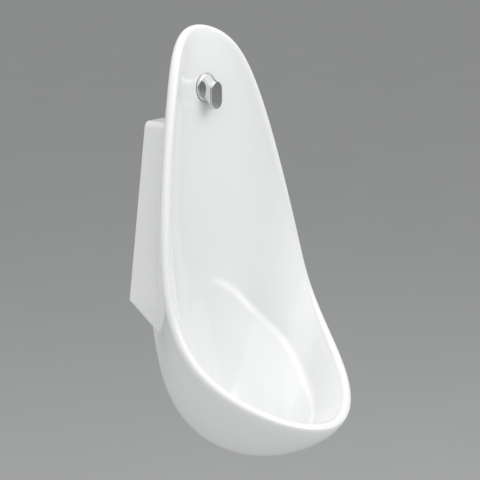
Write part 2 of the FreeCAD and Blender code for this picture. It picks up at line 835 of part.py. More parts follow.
def make_spray_insert():
    """Jet block that closes the opening under the hood."""
    piece = spreader_piece("spray_insert")
    low = f"({HOOD_FALL} + sizes.hood_height / 2)"
    outline = sketch_on(piece, "XZ_Plane", "insert_outline", low)
    draw_slot(outline, "sizes.thread_gap")
    pad(piece, outline, "sizes.spray_depth", reverse=True)
    doc.recompute()
    jets = sketch_on(piece, "XZ_Plane", "insert_jets", low)
    middle = f"({HOOD_FRONT} - sizes.hood_wall - sizes.spray_length / 2)"
    for index in range(SPRAY_JETS):
        step = index - (SPRAY_JETS - 1) / 2
        across = f"{step} * sizes.spray_pitch" if step else "0"
        draw_circle(jets, "sizes.spray_jet", across, middle)
    pocket(piece, jets, "sizes.spray_depth")
    return piece


def make_face_seal():
    """Soft ring between hood and face plate."""
    piece = spreader_piece("face_seal")
    width = "sizes.hood_width - 2 * sizes.seal_inset"
    height = "sizes.hood_height - 2 * sizes.seal_inset"
    outline = sketch_on(piece, "XY_Plane", "seal_outline", HOOD_FRONT)
    draw_oblong(outline, width, height, f"-{HOOD_FALL}")
    pad(piece, outline, "sizes.seal_thick")
    doc.recompute()
    opening = sketch_on(piece, "XY_Plane", "seal_opening", f"{HOOD_FRONT} + sizes.seal_thick")
    draw_oblong(opening, CHAMBER_WIDTH, CHAMBER_HEIGHT, f"-{CHAMBER_FALL}")
    pocket(piece, opening, "sizes.seal_thick")
    return piece


def make_spreader_face():
    """Oblong plate with a rounded edge and a spigot into the hood."""
    piece = spreader_piece("spreader_face")
    back = f"{HOOD_FRONT} + sizes.seal_thick"
    outline = sketch_on(piece, "XY_Plane", "face_outline", back)
    draw_oblong(outline, "sizes.hood_width", "sizes.hood_height", f"-{HOOD_FALL}")
    plate = pad(piece, outline, "sizes.face_thick")
    doc.recompute()
    round_edges(piece, plate, highest_edges(plate), "sizes.face_round")
    doc.recompute()
    width = f"{CHAMBER_WIDTH} - 2 * sizes.slip_gap"
    height = f"{CHAMBER_HEIGHT} - 2 * sizes.slip_gap"
    spigot = sketch_on(piece, "XY_Plane", "face_spigot_outline", back)
    draw_oblong(spigot, width, height, f"-{CHAMBER_FALL}")
    pad(piece, spigot, "sizes.seal_thick + sizes.face_spigot", reverse=True)
    return piece


def make_back_bush():
    """Stepped rubber bush that centres the shank in the inlet hole."""
    there = {"level": SPREADER_AXIS, "turn": OUTWARD}
    collar = cylinder("bush_collar", "sizes.bush_radius", "sizes.bush_thick", reach=BUSH_BACK, **there)
    spigot = cylinder("bush_spigot_bar", "sizes.inlet_hole - sizes.slip_gap",
                      "sizes.bush_thick + sizes.bush_spigot", reach=BUSH_BACK, **there)
    hole = cylinder("bush_hole", "sizes.shank_radius + sizes.slip_gap",
                    "sizes.bush_thick + sizes.bush_spigot", reach=BUSH_BACK, **there)
    return cut("back_bush", fuse("bush_bar", [collar, spigot]), hole)


def make_spreader_fixings():
    """Gasket, bush, washer and nut on the shank."""
    there = {"level": SPREADER_AXIS, "turn": OUTWARD}
    clear = "sizes.shank_radius + sizes.slip_gap"
    return [
        washer("spreader_gasket", "sizes.gasket_radius", clear, "sizes.gasket_thick",
               reach="sizes.spreader_seat", **there),
        make_back_bush(),
        washer("back_washer", "sizes.washer_radius", clear, "sizes.washer_thick", reach=WASHER_BACK, **there),
        hex_nut("spreader_lock_nut", "sizes.lock_nut_flats", "sizes.shank_radius + sizes.thread_gap",
                "sizes.lock_nut_height", reach=LOCK_NUT_BACK, **there),
    ]


# Waste outlet, on an upright axis

def make_waste_body():
    """Flanged outlet with a seat for the grate and a threaded tail."""
    piece = doc.addObject("PartDesign::Body", "waste_body")
    place(piece, reach="sizes.waste_reach", level=f"{WASTE_UNDER} - sizes.waste_tail")
    profile = sketch_on(piece, "XZ_Plane", "waste_profile")
    fixings = "(sizes.waste_cone_thick + sizes.slip_washer_thick + sizes.waste_nut_height)"
    nut_foot = f"(sizes.waste_tail - {fixings})"
    free_end = f"({nut_foot} - sizes.thread_relief)"
    relief = "sizes.waste_tube - sizes.relief_depth"
    neck = "sizes.waste_tail + sizes.waste_wall + sizes.waste_gasket_thick"
    grate_seat = f"{WASTE_TOP} - sizes.grate_sink"
    socket = "sizes.grate_radius + sizes.slip_gap"
    draw_polygon(profile, [
        ("sizes.waste_bore", "0"),
        ("sizes.waste_tube", "0"),
        ("sizes.waste_tube", free_end),
        (relief, free_end),
        (relief, nut_foot),
        ("sizes.waste_tube", nut_foot),
        ("sizes.waste_tube", neck),
        ("sizes.waste_flange", neck),
        ("sizes.waste_flange", WASTE_TOP),
        (socket, WASTE_TOP),
        (socket, grate_seat),
        ("sizes.waste_bore", grate_seat),
    ])
    revolve(piece, profile)
    return piece


def make_waste_grate():
    """Loose strainer: a low cone with holes and a skirt that drops into the outlet."""
    piece = doc.addObject("PartDesign::Body", "waste_grate")
    seat = f"({WASTE_TOP} - sizes.grate_sink)"
    place(piece, reach="sizes.waste_reach",
          level=f"{WASTE_UNDER} - sizes.waste_tail + {seat} - sizes.grate_skirt")
    outer = "(sizes.waste_bore - sizes.slip_gap)"
    inner = f"({outer} - sizes.grate_skirt_wall)"
    profile = sketch_on(piece, "XZ_Plane", "grate_profile")
    draw_polygon(profile, [
        (inner, "0"),
        (outer, "0"),
        (outer, "sizes.grate_skirt"),
        ("sizes.grate_radius", "sizes.grate_skirt"),
        ("sizes.grate_radius", "sizes.grate_skirt + sizes.grate_thick"),
        ("0", "sizes.grate_skirt + sizes.grate_thick + sizes.grate_rise"),
        ("0", "sizes.grate_skirt + sizes.grate_rise"),
        (inner, f"sizes.grate_skirt + sizes.grate_rise * (1 - {inner} / sizes.grate_radius)"),
    ])
    revolve(piece, profile)
    doc.recompute()
    top = "sizes.grate_skirt + sizes.grate_thick + sizes.grate_rise"
    depth = "sizes.grate_thick + sizes.grate_rise"
    lift = sketch_on(piece, "XY_Plane", "grate_lift", top)
    draw_circle(lift, "sizes.grate_lift_hole")
    pocket(piece, lift, depth)
    first = sketch_on(piece, "XY_Plane", "grate_first_hole", top)
    draw_circle(first, "sizes.grate_hole", "sizes.grate_ring")
    drilled = pocket(piece, first, depth)
    doc.recompute()
    pattern = piece.newObject("PartDesign::PolarPattern", "grate_hole_ring")
    pattern.Originals = [drilled]
    pattern.Axis = (first, ["N_Axis"])
    pattern.Angle = 360
    pattern.Occurrences = GRATE_HOLES
    piece.Tip = pattern
    return piece


def make_waste_fixings():
    """Gaskets, slip washer and nut on the waste's tail."""
    there = {"reach": "sizes.waste_reach"}
    clear = "sizes.waste_tube + sizes.slip_gap"
    return [
        washer("waste_top_gasket", "sizes.waste_flange", clear, "sizes.waste_gasket_thick",
               level=WASTE_SEAT, **there),
        washer("waste_cone_gasket", "sizes.waste_cone_radius", clear, "sizes.waste_cone_thick",
               level=BELOW_CONE, **there),
        washer("waste_slip_washer", "sizes.waste_cone_radius", clear, "sizes.slip_washer_thick",
               level=BELOW_SLIP, **there),
        hex_nut("waste_lock_nut", "sizes.waste_nut_flats", "sizes.waste_tube + sizes.thread_gap",
                "sizes.waste_nut_height", level=BELOW_NUT, **there),
    ]


# Wall hangers

def make_hanger(name, side):
    """Steel hook on the wall: plate, arm and upturned tongue, and two bolt holes."""
    piece = doc.addObject("PartDesign::Body", f"hanger_bracket_{name}")
    foot = "(-sizes.hanger_hole_spacing / 2 - sizes.hanger_margin)"
    height = f"({ARM_TOP} - {foot})"
    place(piece, x=f"{side} * sizes.hanger_spacing / 2", level=foot, turn=TURNED)
    profile = sketch_on(piece, "YZ_Plane", f"hanger_profile_{name}")
    draw_polygon(profile, [
        ("0", "0"),
        ("sizes.hanger_plate", "0"),
        ("sizes.hanger_plate", f"{height} - sizes.hanger_plate"),
        ("sizes.hanger_arm", f"{height} - sizes.hanger_plate"),
        ("sizes.hanger_arm", f"{height} + sizes.hanger_tongue"),
        ("sizes.hanger_arm - sizes.hanger_plate", f"{height} + sizes.hanger_tongue"),
        ("sizes.hanger_arm - sizes.hanger_plate", height),
        ("0", height),
    ])
    pad(piece, profile, "sizes.hanger_width", both_ways=True)
    doc.recompute()
    holes = sketch_on(piece, "XZ_Plane", f"hanger_holes_{name}")
    for row in (-1, 1):
        draw_circle(holes, "sizes.hanger_hole", "0", f"{row} * sizes.hanger_hole_spacing / 2 - {foot}")
    pocket(piece, holes, "sizes.hanger_plate")
    return piece


def make_hanger_pad(name, side):
    """Rubber pad between a hook and the underside of the box's top."""
    return block(
        f"hanger_pad_{name}",
        "sizes.hanger_width",
        "sizes.hanger_arm - sizes.hanger_plate - sizes.hook_gap",
        "sizes.hanger_pad",
        x=f"{side} * sizes.hanger_spacing / 2 - sizes.hanger_width / 2",
        reach="sizes.hanger_arm - sizes.hanger_plate - sizes.hook_gap",
        level=ARM_TOP,
    )


def make_pieces():
    """Every piece of the assembly."""
    pieces = [
        make_ceramic_body(),
        make_spreader_flange(),
        make_spreader_body(),
        make_spray_insert(),
        make_face_seal(),
        make_spreader_face(),
        make_waste_body(),
        make_waste_grate(),
    ]
    pieces += make_spreader_fixings()
    pieces += make_waste_fixings()
    for side, name in ((-1, "left"), (1, "right")):
        pieces.append(make_hanger(name, side))
        pieces.append(make_hanger_pad(name, side))
    return pieces


def check(pieces):
    """Stop if any object failed, or any piece is not one sound solid."""
    for thing in doc.Objects:
        if "Invalid" in thing.State or "Error" in thing.State:
            raise RuntimeError(f"{thing.Name}: {thing.State}")
    for piece in pieces:
        shape = piece.Shape
        if shape.isNull() or not shape.isValid() or len(shape.Solids) != 1:
            raise RuntimeError(f"{piece.Label} is not one sound solid")


def main():
    """Build the pieces and write each one's file."""
    pieces = make_pieces()
    doc.recompute()
    check(pieces)
    os.makedirs("parts", exist_ok=True)
    for piece in pieces:
        piece.Shape.exportStep(f"parts/{piece.Label}.step")


if __name__ == "__main__":
    main()
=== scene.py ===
"""Finishes, fittings and studio stage of a wall-hung ceramic urinal."""

import math

import bpy
from mathutils import Matrix, Vector


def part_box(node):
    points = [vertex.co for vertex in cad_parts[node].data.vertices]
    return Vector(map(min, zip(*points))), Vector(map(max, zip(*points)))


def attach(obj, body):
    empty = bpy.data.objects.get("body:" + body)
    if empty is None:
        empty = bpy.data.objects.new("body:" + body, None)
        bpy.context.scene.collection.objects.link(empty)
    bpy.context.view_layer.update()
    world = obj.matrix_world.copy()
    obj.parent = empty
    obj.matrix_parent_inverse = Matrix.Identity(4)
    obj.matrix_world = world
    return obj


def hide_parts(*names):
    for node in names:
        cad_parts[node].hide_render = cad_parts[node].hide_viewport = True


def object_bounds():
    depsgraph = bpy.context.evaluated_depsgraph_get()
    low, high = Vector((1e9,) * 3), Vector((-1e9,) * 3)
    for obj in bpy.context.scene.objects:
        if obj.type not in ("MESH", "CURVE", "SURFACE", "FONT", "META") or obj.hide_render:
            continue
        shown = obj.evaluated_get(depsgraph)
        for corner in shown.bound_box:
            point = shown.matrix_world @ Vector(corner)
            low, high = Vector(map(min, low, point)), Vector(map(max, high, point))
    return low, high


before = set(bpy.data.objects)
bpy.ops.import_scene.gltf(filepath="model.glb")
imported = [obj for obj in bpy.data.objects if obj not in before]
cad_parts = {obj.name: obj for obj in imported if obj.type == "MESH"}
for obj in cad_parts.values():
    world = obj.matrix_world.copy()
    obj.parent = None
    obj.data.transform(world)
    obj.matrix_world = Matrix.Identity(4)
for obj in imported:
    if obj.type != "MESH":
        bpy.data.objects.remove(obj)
SOLIDS_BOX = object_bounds()

bl_info = {
    "name": "Wall-hung urinal",
    "version": (1, 0, 0),
    "blender": (4, 5, 0),
    "location": "View3D > Sidebar > Urinal",
    "description": "Finishes, fittings and studio stage of a wall-hung ceramic urinal",
    "category": "Object",
}

TURN_SIDES = 96                   # sides of a turned piece
ARC_STEPS = 24                    # steps of a half circle in an outline
BEND_STEPS = 6                    # steps of a quarter bend
ROLL_TURN = 80                    # degrees through which the flange's edge is rolled
ROLL_STEPS = 8                    # steps of that roll
CROWN_RISES = (0.4, 0.3, 0.2, 0.1)  # share of the face plate's crown that each step inwards gains
THREAD_STEPS = 6                  # rings in one turn of a thread
THREAD_FLAT = 0.2                 # share of its depth that a thread's flat crest and root each cut off
NUT_SLOPE = math.radians(25)      # fall of the turned corners of a nut
NUT_MARGIN = 0.1                  # how far past the corners that cut is drawn, as a share of its width
NUT_SHOULDER = 0.0005             # how far inside the flats that cut starts
NUT_BEVEL = 0.0008                # bevel at each end of a nut's bore
JET_ROOM = 0.00005                # room round the jet block in the hood
SHARP = math.radians(35)          # turn of an edge above which it is rounded, or stays crisp
NUT_SHARP = math.radians(20)      # the same for a nut
UPWARD = 0.9                      # least upward part of the facing of a flat end
TOUCH = 0.00001                   # distance within which a point counts as on a level or a radius
WELD = 0.000001                   # distance within which points are made one
SLIVER = 0.000002                 # length below which an edge is dissolved
FIELD_LOW = 0.3                   # most of a random field lies above this
FIELD_HIGH = 0.7                  # and below this
MIX_SOCKETS = {"RGBA": (6, 7, 2), "FLOAT": (2, 3, 0)}  # a mix node's two inputs and its result
GLAZE_IOR = 1.55                  # refraction of the glaze
RUBBER_BLOOM = 0.02               # how much lighter dusty rubber is
CRYSTAL_SCALE = 260               # zinc crystals in a metre
FLOOR_ROUGHNESS = 0.9             # how matt the floor is
EGG_EASE = 0.01                   # half the length over which an egg's one end eases into the other
SQUARE_BACK = 2.8                 # how square the crease's back is, seen from above; 2 is an ellipse
SQUARE_FRONT = 1.8                # the same for its front
SQUARE_TOP = 1.7                  # how square the crease's top is, seen from the front
SQUARE_FOOT = 2.5                 # the same for its foot
HIGHLIGHT_FADE = 0.04                  # length over which the painted highlight comes in from the middle of the bowl
HIGHLIGHT_UNDER = -0.25                # upward part of the facing at which the outside of the bowl has no painted highlight
SENSOR_WIDTH = 36                 # width of the camera's picture in millimetres
UPRIGHT = Matrix.Identity(3)
OUTWARD = Matrix(((1, 0, 0), (0, 0, -1), (0, 1, 0)))    # a piece's own z points out of the wall, its y up
SIDEWAYS = Matrix(((0, 0, -1), (-1, 0, 0), (0, 1, 0)))  # its own x points out of the wall, its y up


def length(name, description, default):
    """A size in metres."""
    return bpy.props.FloatProperty(
        name=name, description=description, default=default, precision=5, subtype="DISTANCE", unit="LENGTH")


def colour(name, description, default):
    """A colour of a finish."""
    return bpy.props.FloatVectorProperty(
        name=name, description=description, default=default, subtype="COLOR", size=3, min=0, max=1)


def place(name, description, default):
    """A point in the room."""
    return bpy.props.FloatVectorProperty(
        name=name, description=description, default=default, subtype="TRANSLATION", unit="LENGTH", size=3)


class UrinalFinish(bpy.types.PropertyGroup):
    """Colours of the finishes, and the place of the highlight painted along the crease in the bowl."""

    glaze: colour("Glaze", "Colour of the white glaze", (0.79, 0.795, 0.795))
    # This colour is a painted highlight along the bowl's crease, standing in for a reflection; the glaze is
    # no thicker there.
    pool: colour("Painted crease highlight", "Colour of the highlight painted along the bowl's crease", (0.97, 0.97, 0.97))
    # The crease sizes below place that painted highlight.
    crease_half: length("Crease half width", "Half width of the crease round the bowl's floor", 0.119)
    crease_reach: length("Crease reach", "Reach of the crease's widest place", 0.168)
    crease_back: length("Crease back", "From there to the back of the crease", 0.096)
    crease_front: length("Crease front", "From there to the front of the crease", 0.113)
    crease_level: length("Crease level", "Height of the crease's widest place", -0.375)
    crease_rise: length("Crease rise", "From there to the top of the crease", 0.146)
    crease_fall: length("Crease fall", "From there to the lowest part of the crease", 0.081)
    highlight_width: bpy.props.FloatProperty(
        name="Highlight width", description="Width of the painted highlight, as a share of the crease", default=0.08)
    biscuit: colour("Bare clay", "Colour of the unglazed face against the wall", (0.68, 0.62, 0.52))
    chrome: colour("Chrome", "Colour of the chrome plate", (0.78, 0.785, 0.79))
    rubber: colour("Rubber", "Colour of the gaskets and pads", (0.02, 0.02, 0.022))
    steel: colour("Zinc", "Colour of the zinc-plated steel", (0.58, 0.6, 0.62))
    brass: colour("Brass", "Colour of the turned brass nuts", (0.72, 0.5, 0.22))
    plastic: colour("Plastic", "Colour of the moulded plastic", (0.72, 0.72, 0.7))


class UrinalFittings(bpy.types.PropertyGroup):
    """Sizes of the fittings that their outer boxes don't give."""

    slip_gap: length("Slip gap", "Room round a shank or tube in a hole", 0.0003)
    edge: length("Edge", "Rounding of a worked edge", 0.0004)
    shank_radius: length("Shank radius", "Outer radius of the spreader's thread", 0.01048)
    shank_bore: length("Shank bore", "Radius of the spreader's waterway", 0.0065)
    shank_pitch: length("Shank pitch", "Pitch of the spreader's thread", 0.001814)
    shank_depth: length("Shank thread depth", "Depth of the spreader's thread", 0.00116)
    relief_depth: length("Relief depth", "Depth of the groove where a thread runs out", 0.0008)
    relief_width: length("Relief width", "Width of the groove where a thread runs out", 0.0015)
    flange_round: length("Flange rounding", "Rounding of the spreader flange", 0.0035)
    hood_wall: length("Hood wall", "Wall of the hood round its water chamber", 0.003)
    face_round: length("Face rounding", "Rounding of the face plate", 0.0018)
    face_crown: length("Face crown", "How far the face plate's middle stands out", 0.0015)
    face_plate: length("Face plate", "Thickness of the face plate without its spigot", 0.004)
    jet_radius: length("Jet radius", "Radius of a spray jet", 0.0012)
    jet_pitch: length("Jet pitch", "Distance between spray jets", 0.0036)
    bush_collar: length("Bush collar", "Thickness of the bush's collar", 0.003)
    bush_spigot: length("Bush spigot", "Radius of the bush inside the inlet hole", 0.0137)
    tail_radius: length("Tail radius", "Outer radius of the waste's thread", 0.02095)
    tail_bore: length("Tail bore", "Radius of the waste's bore", 0.0165)
    tail_pitch: length("Tail pitch", "Pitch of the waste's thread", 0.002309)
    tail_depth: length("Tail thread depth", "Depth of the waste's thread", 0.00148)
    waste_flange: length("Waste flange", "Thickness of the waste's flange", 0.003)
    grate_sink: length("Grate sink", "Depth of the grate's seat in the flange", 0.0015)
    grate_skirt: length("Grate skirt", "Length of the grate's skirt", 0.014)
    grate_wall: length("Grate skirt wall", "Wall of the grate's skirt", 0.0015)
    grate_thick: length("Grate thickness", "Thickness of the grate's cone", 0.002)
    grate_rise: length("Grate rise", "Height of the grate's cone at its middle", 0.004)
    lift_hole: length("Lift hole", "Radius of the hole that a hook lifts the grate by", 0.004)
    grate_hole: length("Grate hole", "Radius of a grate hole", 0.0026)
    grate_ring: length("Grate ring", "Radius of the circle of grate holes", 0.0105)
    grate_holes: bpy.props.IntProperty(name="Grate holes", description="Number of grate holes", default=8)
    hanger_plate: length("Hanger plate", "Thickness of a hanger's steel", 0.004)
    hanger_tongue: length("Hanger tongue", "Height of a hanger's tongue above its arm", 0.006)
    hanger_bend: length("Hanger bend", "Inner radius of a hanger's bends", 0.002)
    hanger_hole: length("Hanger hole", "Radius of a bolt hole", 0.00425)
    hanger_holes: length("Hanger hole spacing", "Distance between a hanger's bolt holes", 0.04)
    pad_groove: length("Pad groove", "Depth of the grooves in a pad", 0.0006)
    pad_ribs: bpy.props.IntProperty(name="Pad ribs", description="Ribs on a pad", default=7)


class UrinalStage(bpy.types.PropertyGroup):
    """Floor, sky, lamps and camera."""

    floor_drop: length("Room below", "Height of the lowest point above the floor", 0.61)
    floor_size: length("Floor size", "Side of the floor", 80.0)
    backdrop: colour("Backdrop", "Colour seen on the floor and in the room behind", (0.38, 0.385, 0.39))
    bounce: colour("Bounce", "Colour of the light that the floor throws back", (0.56, 0.565, 0.57))
    sky_level: bpy.props.FloatProperty(
        name="Sky level", description="Strength of the even light from all sides", default=0.68)
    lamp_target: place("Lamp target", "Point that the lamp in front faces", (0.05, -0.18, -0.3))
    ceiling_place: place("Ceiling lamp", "Middle of the wide lamp overhead", (-1.8, -1.8, 1.5))
    ceiling_size: length("Ceiling size", "Side of the wide lamp overhead", 6.0)
    ceiling_power: bpy.props.FloatProperty(
        name="Ceiling power", description="Power of the wide lamp overhead", unit="POWER", default=88)
    key_place: place("Key lamp", "Middle of the lamp in front", (0.6, -2.2, 1.7))
    key_size: length("Key size", "Side of the lamp in front", 2.0)
    key_power: bpy.props.FloatProperty(
        name="Key power", description="Power of the lamp in front", unit="POWER", default=24)
    camera_place: place("Camera", "Place of the camera", (-2.0179, -1.8383, 0.4931))
    camera_turn: bpy.props.FloatVectorProperty(
        name="Camera turn", description="Rotation of the camera", subtype="EULER", size=3,
        default=(math.radians(76.4), 0, math.radians(-50)))
    camera_lens: bpy.props.FloatProperty(
        name="Lens", description="Focal length", unit="CAMERA", default=119.25)


OPERATORS = []


def operate(kind):
    """Class decorator that lists an operator for registering, in the order that main calls them."""
    OPERATORS.append(kind)
    return kind


# Materials

def start_material(name, tint, metal=False):
    """A node material with its shader's colour set; returns the material, its tree and its shader."""
    material = bpy.data.materials.new(name)
    material.use_nodes = True
    material.diffuse_color = (*tint, 1)
    shader = material.node_tree.nodes["Principled BSDF"]
    shader.inputs["Metallic"].default_value = float(metal)
    return material, material.node_tree, shader


def add(tree, kind, **settings):
    """A new node with some of its settings."""
    node = tree.nodes.new(kind)
    for name, setting in settings.items():
        setattr(node, name, setting)
    return node


def place_of(tree):
    """The piece's own coordinates."""
    return add(tree, "ShaderNodeTexCoord").outputs["Object"]


def parts_of(tree, vector):
    """The X, Y and Z of a vector."""
    node = add(tree, "ShaderNodeSeparateXYZ")
    tree.links.new(vector, node.inputs["Vector"])
    return node.outputs


def reckon(tree, operation, *terms):
    """Result of a calculation on sockets and plain numbers."""
    node = add(tree, "ShaderNodeMath", operation=operation)
    for socket, term in zip(node.inputs, terms):
        if isinstance(term, float):
            socket.default_value = term
        else:
            tree.links.new(term, socket)
    return node.outputs["Value"]


def noise(tree, spot, scale, detail=3.0):
    """Soft random field with features about one metre over scale wide."""
    node = add(tree, "ShaderNodeTexNoise")
    node.inputs["Scale"].default_value = scale
    node.inputs["Detail"].default_value = detail
    tree.links.new(spot, node.inputs["Vector"])
    return node.outputs["Fac"]


def spread(tree, source, low, high, start=FIELD_LOW, end=FIELD_HIGH):
    """Source stretched from start..end to low..high."""
    node = add(tree, "ShaderNodeMapRange")
    for name, number in (("From Min", start), ("From Max", end), ("To Min", low), ("To Max", high)):
        node.inputs[name].default_value = number
    tree.links.new(source, node.inputs["Value"])
    return node.outputs["Result"]


def shades(tree, source, dark, light):
    """Colour that runs from dark to light with the source."""
    node = add(tree, "ShaderNodeValToRGB")
    ends = zip(node.color_ramp.elements, (FIELD_LOW, FIELD_HIGH), (dark, light))
    for end, position, tint in ends:
        end.position = position
        end.color = (*tint, 1)
    tree.links.new(source, node.inputs["Fac"])
    return node.outputs["Color"]


def darker(tint, share):
    """Colour scaled by a share."""
    return tuple(part * share for part in tint)


def blend(tree, kind, share, first, second):
    """Mix of two sockets that hold a colour (RGBA) or a number (FLOAT)."""
    node = add(tree, "ShaderNodeMix", data_type=kind)
    first_socket, second_socket, result = MIX_SOCKETS[kind]
    tree.links.new(share, node.inputs["Factor"])
    tree.links.new(first, node.inputs[first_socket])
    tree.links.new(second, node.inputs[second_socket])
    return node.outputs[result]


def cloud_colour(tree, shader, spot, dark, light, scale):
    """Let the shader's colour wander between two shades."""
    tree.links.new(shades(tree, noise(tree, spot, scale), dark, light), shader.inputs["Base Color"])


def cloud_gloss(tree, shader, spot, low, high, scale):
    """Let the shader's roughness wander between two levels."""
    tree.links.new(spread(tree, noise(tree, spot, scale), low, high), shader.inputs["Roughness"])


def ripple(tree, shader, height, depth):
    """Bump on the shader, depth metres high."""
    node = add(tree, "ShaderNodeBump")
    node.inputs["Distance"].default_value = depth
    tree.links.new(height, node.inputs["Height"])
    tree.links.new(node.outputs["Normal"], shader.inputs["Normal"])


def bare_share(tree, spot):
    """1 on the ground face against the wall, 0 where the glaze begins, with a wandering edge."""
    wander = spread(tree, noise(tree, spot, scale=60), low=-0.0003, high=0.0003)
    depth = reckon(tree, "ADD", parts_of(tree, spot)["Y"], wander)
    return spread(tree, depth, low=0, high=1, start=-0.0008, end=-0.0004)


def egg(tree, across, along, ahead, behind):
    """1 on an egg-shaped line; ahead and behind give the length of each end and how square it is."""
    length_ahead, square_ahead = ahead
    length_behind, square_behind = behind
    ends = reckon(tree, "MAXIMUM", reckon(tree, "DIVIDE", along, length_ahead),
                  reckon(tree, "DIVIDE", along, -length_behind))
    power = spread(tree, along, square_behind, square_ahead, -EGG_EASE, EGG_EASE)
    total = reckon(tree, "ADD", reckon(tree, "POWER", across, power), reckon(tree, "POWER", ends, power))
    return reckon(tree, "POWER", total, reckon(tree, "DIVIDE", 1.0, power))


def painted_highlight_share(tree, spot, finish):
    """1 along the right half of the crease round the bowl's floor, where a highlight is painted into the
    glaze's colour, and 0 elsewhere.
    """
    parts = parts_of(tree, spot)
    across = reckon(tree, "DIVIDE", reckon(tree, "ABSOLUTE", parts["X"]), finish.crease_half)
    back = reckon(tree, "ADD", parts["Y"], finish.crease_reach)
    above = reckon(tree, "SUBTRACT", parts["Z"], finish.crease_level)
    lines = (
        egg(tree, across, back, (finish.crease_back, SQUARE_BACK), (finish.crease_front, SQUARE_FRONT)),
        egg(tree, across, above, (finish.crease_rise, SQUARE_TOP), (finish.crease_fall, SQUARE_FOOT)),
    )
    facing = parts_of(tree, add(tree, "ShaderNodeNewGeometry").outputs["Normal"])
    inside = spread(tree, facing["Z"], low=0, high=1, start=HIGHLIGHT_UNDER, end=0)
    aside = spread(tree, parts["X"], low=0, high=1, start=0, end=HIGHLIGHT_FADE)
    share = reckon(tree, "MULTIPLY", inside, aside)
    for line in lines:
        off = reckon(tree, "ABSOLUTE", reckon(tree, "SUBTRACT", line, 1.0))
        near = spread(tree, off, low=1, high=0, start=0, end=finish.highlight_width)
        share = reckon(tree, "MULTIPLY", share, near)
    return share


def glaze_material(finish):
    """White glaze with slight orange peel, a highlight painted whiter along the right half of the bowl's
    crease, and bare clay against the wall.
    """
    tint = tuple(finish.glaze)
    pool = tuple(finish.pool)
    clay = tuple(finish.biscuit)
    material, tree, shader = start_material("white_glaze", tint)
    spot = place_of(tree)
    bare = bare_share(tree, spot)
    cloud = noise(tree, spot, scale=7)
    plain_glaze = shades(tree, cloud, darker(tint, share=0.985), tint)
    painted_highlight = shades(tree, cloud, darker(pool, share=0.985), pool)
    # Painted highlight: a whiter glaze colour mixed in along the crease, standing in for a reflection.
    white = blend(tree, "RGBA", painted_highlight_share(tree, spot, finish), plain_glaze, painted_highlight)
    grain = shades(tree, noise(tree, spot, scale=700), darker(clay, share=0.85), clay)
    tree.links.new(blend(tree, "RGBA", bare, white, grain), shader.inputs["Base Color"])
    gloss = spread(tree, noise(tree, spot, scale=25), low=0.06, high=0.11)
    chalk = spread(tree, noise(tree, spot, scale=400), low=0.75, high=0.9)
    tree.links.new(blend(tree, "FLOAT", bare, gloss, chalk), shader.inputs["Roughness"])
    ripple(tree, shader, noise(tree, spot, scale=120, detail=1.0), depth=0.00006)
    shader.inputs["IOR"].default_value = GLAZE_IOR
    return material


def chrome_material(finish):
    """Polished chrome with faint wipe marks."""
    tint = tuple(finish.chrome)
    material, tree, shader = start_material("polished_chrome", tint, metal=True)
    spot = place_of(tree)
    cloud_colour(tree, shader, spot, darker(tint, share=0.95), tint, scale=40)
    cloud_gloss(tree, shader, spot, low=0.02, high=0.06, scale=180)
    ripple(tree, shader, noise(tree, spot, scale=900, detail=2.0), depth=0.000002)
    return material


def rubber_material(finish):
    """Matt black rubber with a dusty bloom."""
    tint = tuple(finish.rubber)
    bloom = tuple(part + RUBBER_BLOOM for part in tint)
    material, tree, shader = start_material("black_rubber", tint)
    spot = place_of(tree)
    cloud_colour(tree, shader, spot, tint, bloom, scale=90)
    cloud_gloss(tree, shader, spot, low=0.55, high=0.75, scale=300)
    ripple(tree, shader, noise(tree, spot, scale=1500), depth=0.00004)
    return material


def steel_material(finish):
    """Zinc-plated steel with crystals in its plating."""
    tint = tuple(finish.steel)
    material, tree, shader = start_material("zinc_plate", tint, metal=True)
    spot = place_of(tree)
    crystals = add(tree, "ShaderNodeTexVoronoi")
    crystals.inputs["Scale"].default_value = CRYSTAL_SCALE
    tree.links.new(spot, crystals.inputs["Vector"])
    flakes = shades(tree, crystals.outputs["Distance"], darker(tint, share=0.85), tint)
    tree.links.new(flakes, shader.inputs["Base Color"])
    cloud_gloss(tree, shader, spot, low=0.28, high=0.45, scale=120)
    ripple(tree, shader, crystals.outputs["Distance"], depth=0.00002)
    return material


def brass_material(finish):
    """Turned brass, a little tarnished."""
    tint = tuple(finish.brass)
    material, tree, shader = start_material("turned_brass", tint, metal=True)
    spot = place_of(tree)
    cloud_colour(tree, shader, spot, darker(tint, share=0.7), tint, scale=70)
    cloud_gloss(tree, shader, spot, low=0.2, high=0.38, scale=250)
    ripple(tree, shader, noise(tree, spot, scale=1200), depth=0.00001)
    return material


def plastic_material(finish):
    """White moulded plastic with a fine grain."""
    tint = tuple(finish.plastic)
    material, tree, shader = start_material("white_plastic", tint)
    spot = place_of(tree)
    cloud_colour(tree, shader, spot, darker(tint, share=0.95), tint, scale=60)
    cloud_gloss(tree, shader, spot, low=0.35, high=0.5, scale=500)
    ripple(tree, shader, noise(tree, spot, scale=2500), depth=0.00002)
    return material


MAKERS = {
    "glaze": glaze_material,
    "chrome": chrome_material,
    "rubber": rubber_material,
    "steel": steel_material,
    "brass": brass_material,
    "plastic": plastic_material,
}
MATERIALS = {}


def material_for(kind):
    """The material of a finish, made when it is first asked for."""
    if kind not in MATERIALS:
        MATERIALS[kind] = MAKERS[kind](bpy.context.scene.urinal_finish)
    return MATERIALS[kind]


def paint(piece, material):
    """Give a piece one material."""
    piece.data.materials.clear()
    piece.data.materials.append(material)


# Modelling

def select_only(piece):
    """Make a piece the only one selected, and active."""
    bpy.ops.object.select_all(action="DESELECT")
    piece.select_set(True)
    bpy.context.view_layer.objects.active = piece


def start_piece(name, primitive, **settings):
    """Add a primitive, the only one selected, and name it."""
    bpy.ops.object.select_all(action="DESELECT")
    primitive(**settings)
    piece = bpy.context.active_object
    piece.name = name
    return piece


